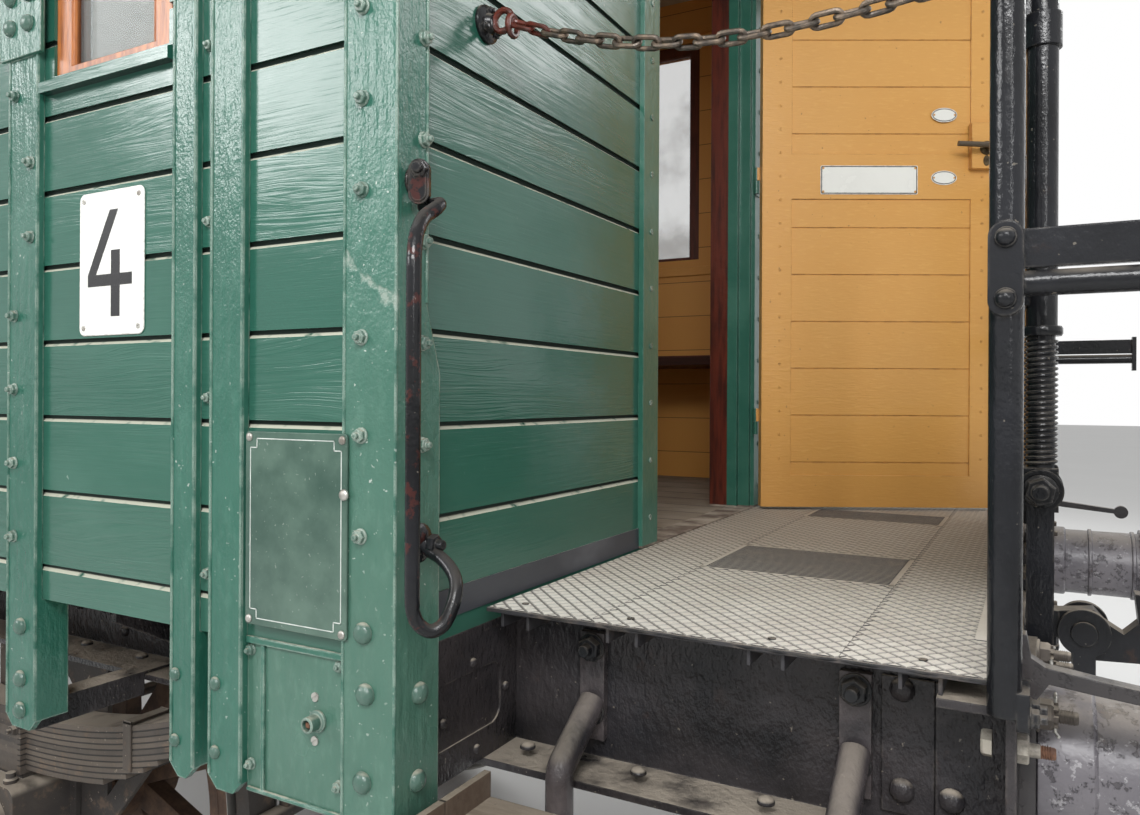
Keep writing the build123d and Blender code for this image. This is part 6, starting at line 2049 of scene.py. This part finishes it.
def stage():
    """A pale floor, soft lamps round the coach and a camera at the corner of the platform."""
    mesh = bpy.data.meshes.new("floor")
    reach = 60
    mesh.from_pydata(
        [(-reach, -reach, 0), (reach, -reach, 0), (reach, reach, 0), (-reach, reach, 0)], [], [[0, 1, 2, 3]]
    )
    floor = bpy.data.objects.new("floor", mesh)
    bpy.context.collection.objects.link(floor)
    f = Finish("studio floor", roughness=0.9)
    soft = f.noise(0.6, detail=2)
    f.paint = f.mix(soft, (0.78, 0.78, 0.77), (0.82, 0.82, 0.81))
    mesh.materials.append(f.finish(0.9, [(f.noise(40, detail=2), 0.0004)]))

    world = bpy.data.worlds.new("studio")
    bpy.context.scene.world = world
    world.use_nodes = True
    nodes, links = world.node_tree.nodes, world.node_tree.links
    background = nodes["Background"]
    background.inputs["Color"].default_value = (1, 1, 1, 1)
    rays = nodes.new("ShaderNodeLightPath").outputs
    seen = rays["Is Camera Ray"]
    for kind in ("Is Glossy Ray", "Is Transmission Ray"):
        either = nodes.new("ShaderNodeMath")
        either.operation = "MAXIMUM"
        links.new(seen, either.inputs[0])
        links.new(rays[kind], either.inputs[1])
        seen = either.outputs[0]
    strength = nodes.new("ShaderNodeMapRange")
    strength.inputs["To Min"].default_value = 0.50
    strength.inputs["To Max"].default_value = 1.0
    links.new(seen, strength.inputs["Value"])
    links.new(strength.outputs[0], background.inputs["Strength"])

    for name, place, aim, size, power in LAMPS:
        lamp = bpy.data.lights.new(name, "AREA")
        lamp.shape = "RECTANGLE"
        lamp.size, lamp.size_y = size
        lamp.energy = power
        holder = bpy.data.objects.new(name, lamp)
        bpy.context.collection.objects.link(holder)
        holder.location = place
        holder.rotation_euler = (Vector(aim) - Vector(place)).to_track_quat("-Z", "Y").to_euler()

    camera_data = bpy.data.cameras.new("camera")
    camera_data.lens = 27.25
    camera_data.sensor_fit = "HORIZONTAL"
    camera_data.sensor_width = 36
    camera_data.shift_y = -0.0092
    camera_data.clip_start = 0.05
    camera_data.clip_end = 200
    camera = bpy.data.objects.new("camera", camera_data)
    bpy.context.collection.objects.link(camera)
    forward = Vector(LOOKING).normalized()
    right = Vector((forward.y, -forward.x, 0))
    up = Vector((0, 0, 1)) * cos(LEAN) + right * sin(LEAN)
    side = forward.cross(up)
    place = Matrix((side, up, -forward)).transposed().to_4x4()
    camera.matrix_world = shifted(*EYE) @ place
    bpy.context.scene.camera = camera
    bpy.context.scene.view_settings.view_transform = "Standard"


# Operators


class COACH_OT_finishes(bpy.types.Operator):
    """Give every part of the frame its paint, wood or metal"""

    bl_idname = "coach.finishes"
    bl_label = "Finishes"

    def execute(self, context):
        dress_nodes()
        return {"FINISHED"}


class COACH_OT_body_fastenings(bpy.types.Operator):
    """Add the nuts, domed bolts and locks of the steel posts and covers"""

    bl_idname = "coach.body_fastenings"
    bl_label = "Body fastenings"

    def execute(self, context):
        nuts_and_domes()
        lock_boss()
        return {"FINISHED"}


class COACH_OT_posts_and_covers(bpy.types.Operator):
    """Add the folds of the covers and the edges of the steel posts"""

    bl_idname = "coach.posts_and_covers"
    bl_label = "Posts and covers"

    def execute(self, context):
        cover_folds()
        post_edges()
        return {"FINISHED"}


class COACH_OT_number_plates(bpy.types.Operator):
    """Add the white plate with its numeral on each side"""

    bl_idname = "coach.number_plates"
    bl_label = "Number plates"

    def execute(self, context):
        number_plates()
        return {"FINISHED"}


class COACH_OT_plaque(bpy.types.Operator):
    """Add the blank plaque beside the corner post"""

    bl_idname = "coach.plaque"
    bl_label = "Plaque"

    def execute(self, context):
        plaque()
        return {"FINISHED"}


class COACH_OT_end_doors(bpy.types.Operator):
    """Add signs, screws and lever plates to the end doors and their frames"""

    bl_idname = "coach.end_doors"
    bl_label = "End doors"

    def execute(self, context):
        door_fittings()
        door_frame_fittings()
        return {"FINISHED"}


class COACH_OT_baggage_doors(bpy.types.Operator):
    """Add nuts, straps and a hasp to the sliding doors"""

    bl_idname = "coach.baggage_doors"
    bl_label = "Baggage doors"

    def execute(self, context):
        baggage_door_fittings()
        return {"FINISHED"}


class COACH_OT_entrance_chains(bpy.types.Operator):
    """Hang a chain of oval links across each entrance"""

    bl_idname = "coach.entrance_chains"
    bl_label = "Entrance chains"

    def execute(self, context):
        entrance_chains()
        return {"FINISHED"}


class COACH_OT_platforms(bpy.types.Operator):
    """Raise the squares and ribs of the platform plates and roll their edges"""

    bl_idname = "coach.platforms"
    bl_label = "Platforms"

    def execute(self, context):
        tread_squares()
        platform_edges()
        return {"FINISHED"}


class COACH_OT_railings(bpy.types.Operator):
    """Add the bolts of the platform posts and rails"""

    bl_idname = "coach.railings"
    bl_label = "Railings"

    def execute(self, context):
        railing_fittings()
        return {"FINISHED"}


class COACH_OT_handrails(bpy.types.Operator):
    """Bend a handrail at each corner, with its lug, eye and bolts"""

    bl_idname = "coach.handrails"
    bl_label = "Handrails"

    def execute(self, context):
        handrail_fittings()
        return {"FINISHED"}


class COACH_OT_windows(bpy.types.Operator):
    """Add the beads and drip strips of the side windows"""

    bl_idname = "coach.windows"
    bl_label = "Windows"

    def execute(self, context):
        window_trim()
        return {"FINISHED"}


class COACH_OT_headstocks(bpy.types.Operator):
    """Add rivets, castellated nuts and split pins to the headstocks"""

    bl_idname = "coach.headstocks"
    bl_label = "Headstocks"

    def execute(self, context):
        headstock_fittings()
        return {"FINISHED"}


class COACH_OT_solebars(bpy.types.Operator):
    """Add rivets, strap nuts and end plates to the solebars"""

    bl_idname = "coach.solebars"
    bl_label = "Solebars"

    def execute(self, context):
        solebar_fittings()
        return {"FINISHED"}


class COACH_OT_buffers(bpy.types.Operator):
    """Add the collar and rings of each buffer"""

    bl_idname = "coach.buffers"
    bl_label = "Buffers"

    def execute(self, context):
        buffer_fittings()
        return {"FINISHED"}


class COACH_OT_axle_boxes(bpy.types.Operator):
    """Add covers and nuts to the axle boxes and clips to the springs"""

    bl_idname = "coach.axle_boxes"
    bl_label = "Axle boxes"

    def execute(self, context):
        axle_box_fittings()
        return {"FINISHED"}


class COACH_OT_wheels(bpy.types.Operator):
    """Add the tyre lines and rivets of the wheels"""

    bl_idname = "coach.wheels"
    bl_label = "Wheels"

    def execute(self, context):
        wheel_fittings()
        return {"FINISHED"}


class COACH_OT_brakes(bpy.types.Operator):
    """Cut the handbrake thread and add the pipe cocks"""

    bl_idname = "coach.brakes"
    bl_label = "Brakes"

    def execute(self, context):
        brake_fittings()
        return {"FINISHED"}


class COACH_OT_roof(bpy.types.Operator):
    """Add the seams and edge strips of the roof"""

    bl_idname = "coach.roof"
    bl_label = "Roof"

    def execute(self, context):
        roof_trim()
        return {"FINISHED"}


class COACH_OT_inside(bpy.types.Operator):
    """Add wall rails, bench slats and ceiling lamps"""

    bl_idname = "coach.inside"
    bl_label = "Inside"

    def execute(self, context):
        inside_trim()
        return {"FINISHED"}


class COACH_OT_stage(bpy.types.Operator):
    """Set the floor, the lamps and the camera"""

    bl_idname = "coach.stage"
    bl_label = "Stage"

    def execute(self, context):
        stage()
        return {"FINISHED"}


OPERATORS = (
    COACH_OT_finishes,
    COACH_OT_body_fastenings,
    COACH_OT_posts_and_covers,
    COACH_OT_number_plates,
    COACH_OT_plaque,
    COACH_OT_end_doors,
    COACH_OT_baggage_doors,
    COACH_OT_entrance_chains,
    COACH_OT_platforms,
    COACH_OT_railings,
    COACH_OT_handrails,
    COACH_OT_windows,
    COACH_OT_headstocks,
    COACH_OT_solebars,
    COACH_OT_buffers,
    COACH_OT_axle_boxes,
    COACH_OT_wheels,
    COACH_OT_brakes,
    COACH_OT_roof,
    COACH_OT_inside,
    COACH_OT_stage,
)


class COACH_PT_pieces(bpy.types.Panel):
    """Lists the colours, the sizes and every step of the dressing"""

    bl_idname = "COACH_PT_pieces"
    bl_label = "Coach"
    bl_space_type = "VIEW_3D"
    bl_region_type = "UI"
    bl_category = "Coach"

    def draw(self, context):
        scene = context.scene
        for group in (scene.coach_colours, scene.coach_sizes):
            column = self.layout.column()
            for name in group.__annotations__:
                column.prop(group, name)
        for step in OPERATORS:
            self.layout.operator(step.bl_idname)


CLASSES = (CoachColours, CoachSizes, *OPERATORS, COACH_PT_pieces)


def register():
    for cls in CLASSES:
        bpy.utils.register_class(cls)
    bpy.types.Scene.coach_colours = PointerProperty(type=CoachColours)
    bpy.types.Scene.coach_sizes = PointerProperty(type=CoachSizes)


def unregister():
    del bpy.types.Scene.coach_sizes
    del bpy.types.Scene.coach_colours
    for cls in reversed(CLASSES):
        bpy.utils.unregister_class(cls)


def main():
    register()
    for step in OPERATORS:
        getattr(bpy.ops.coach, step.bl_idname.split(".")[1])()


if __name__ == "__main__":
    main()
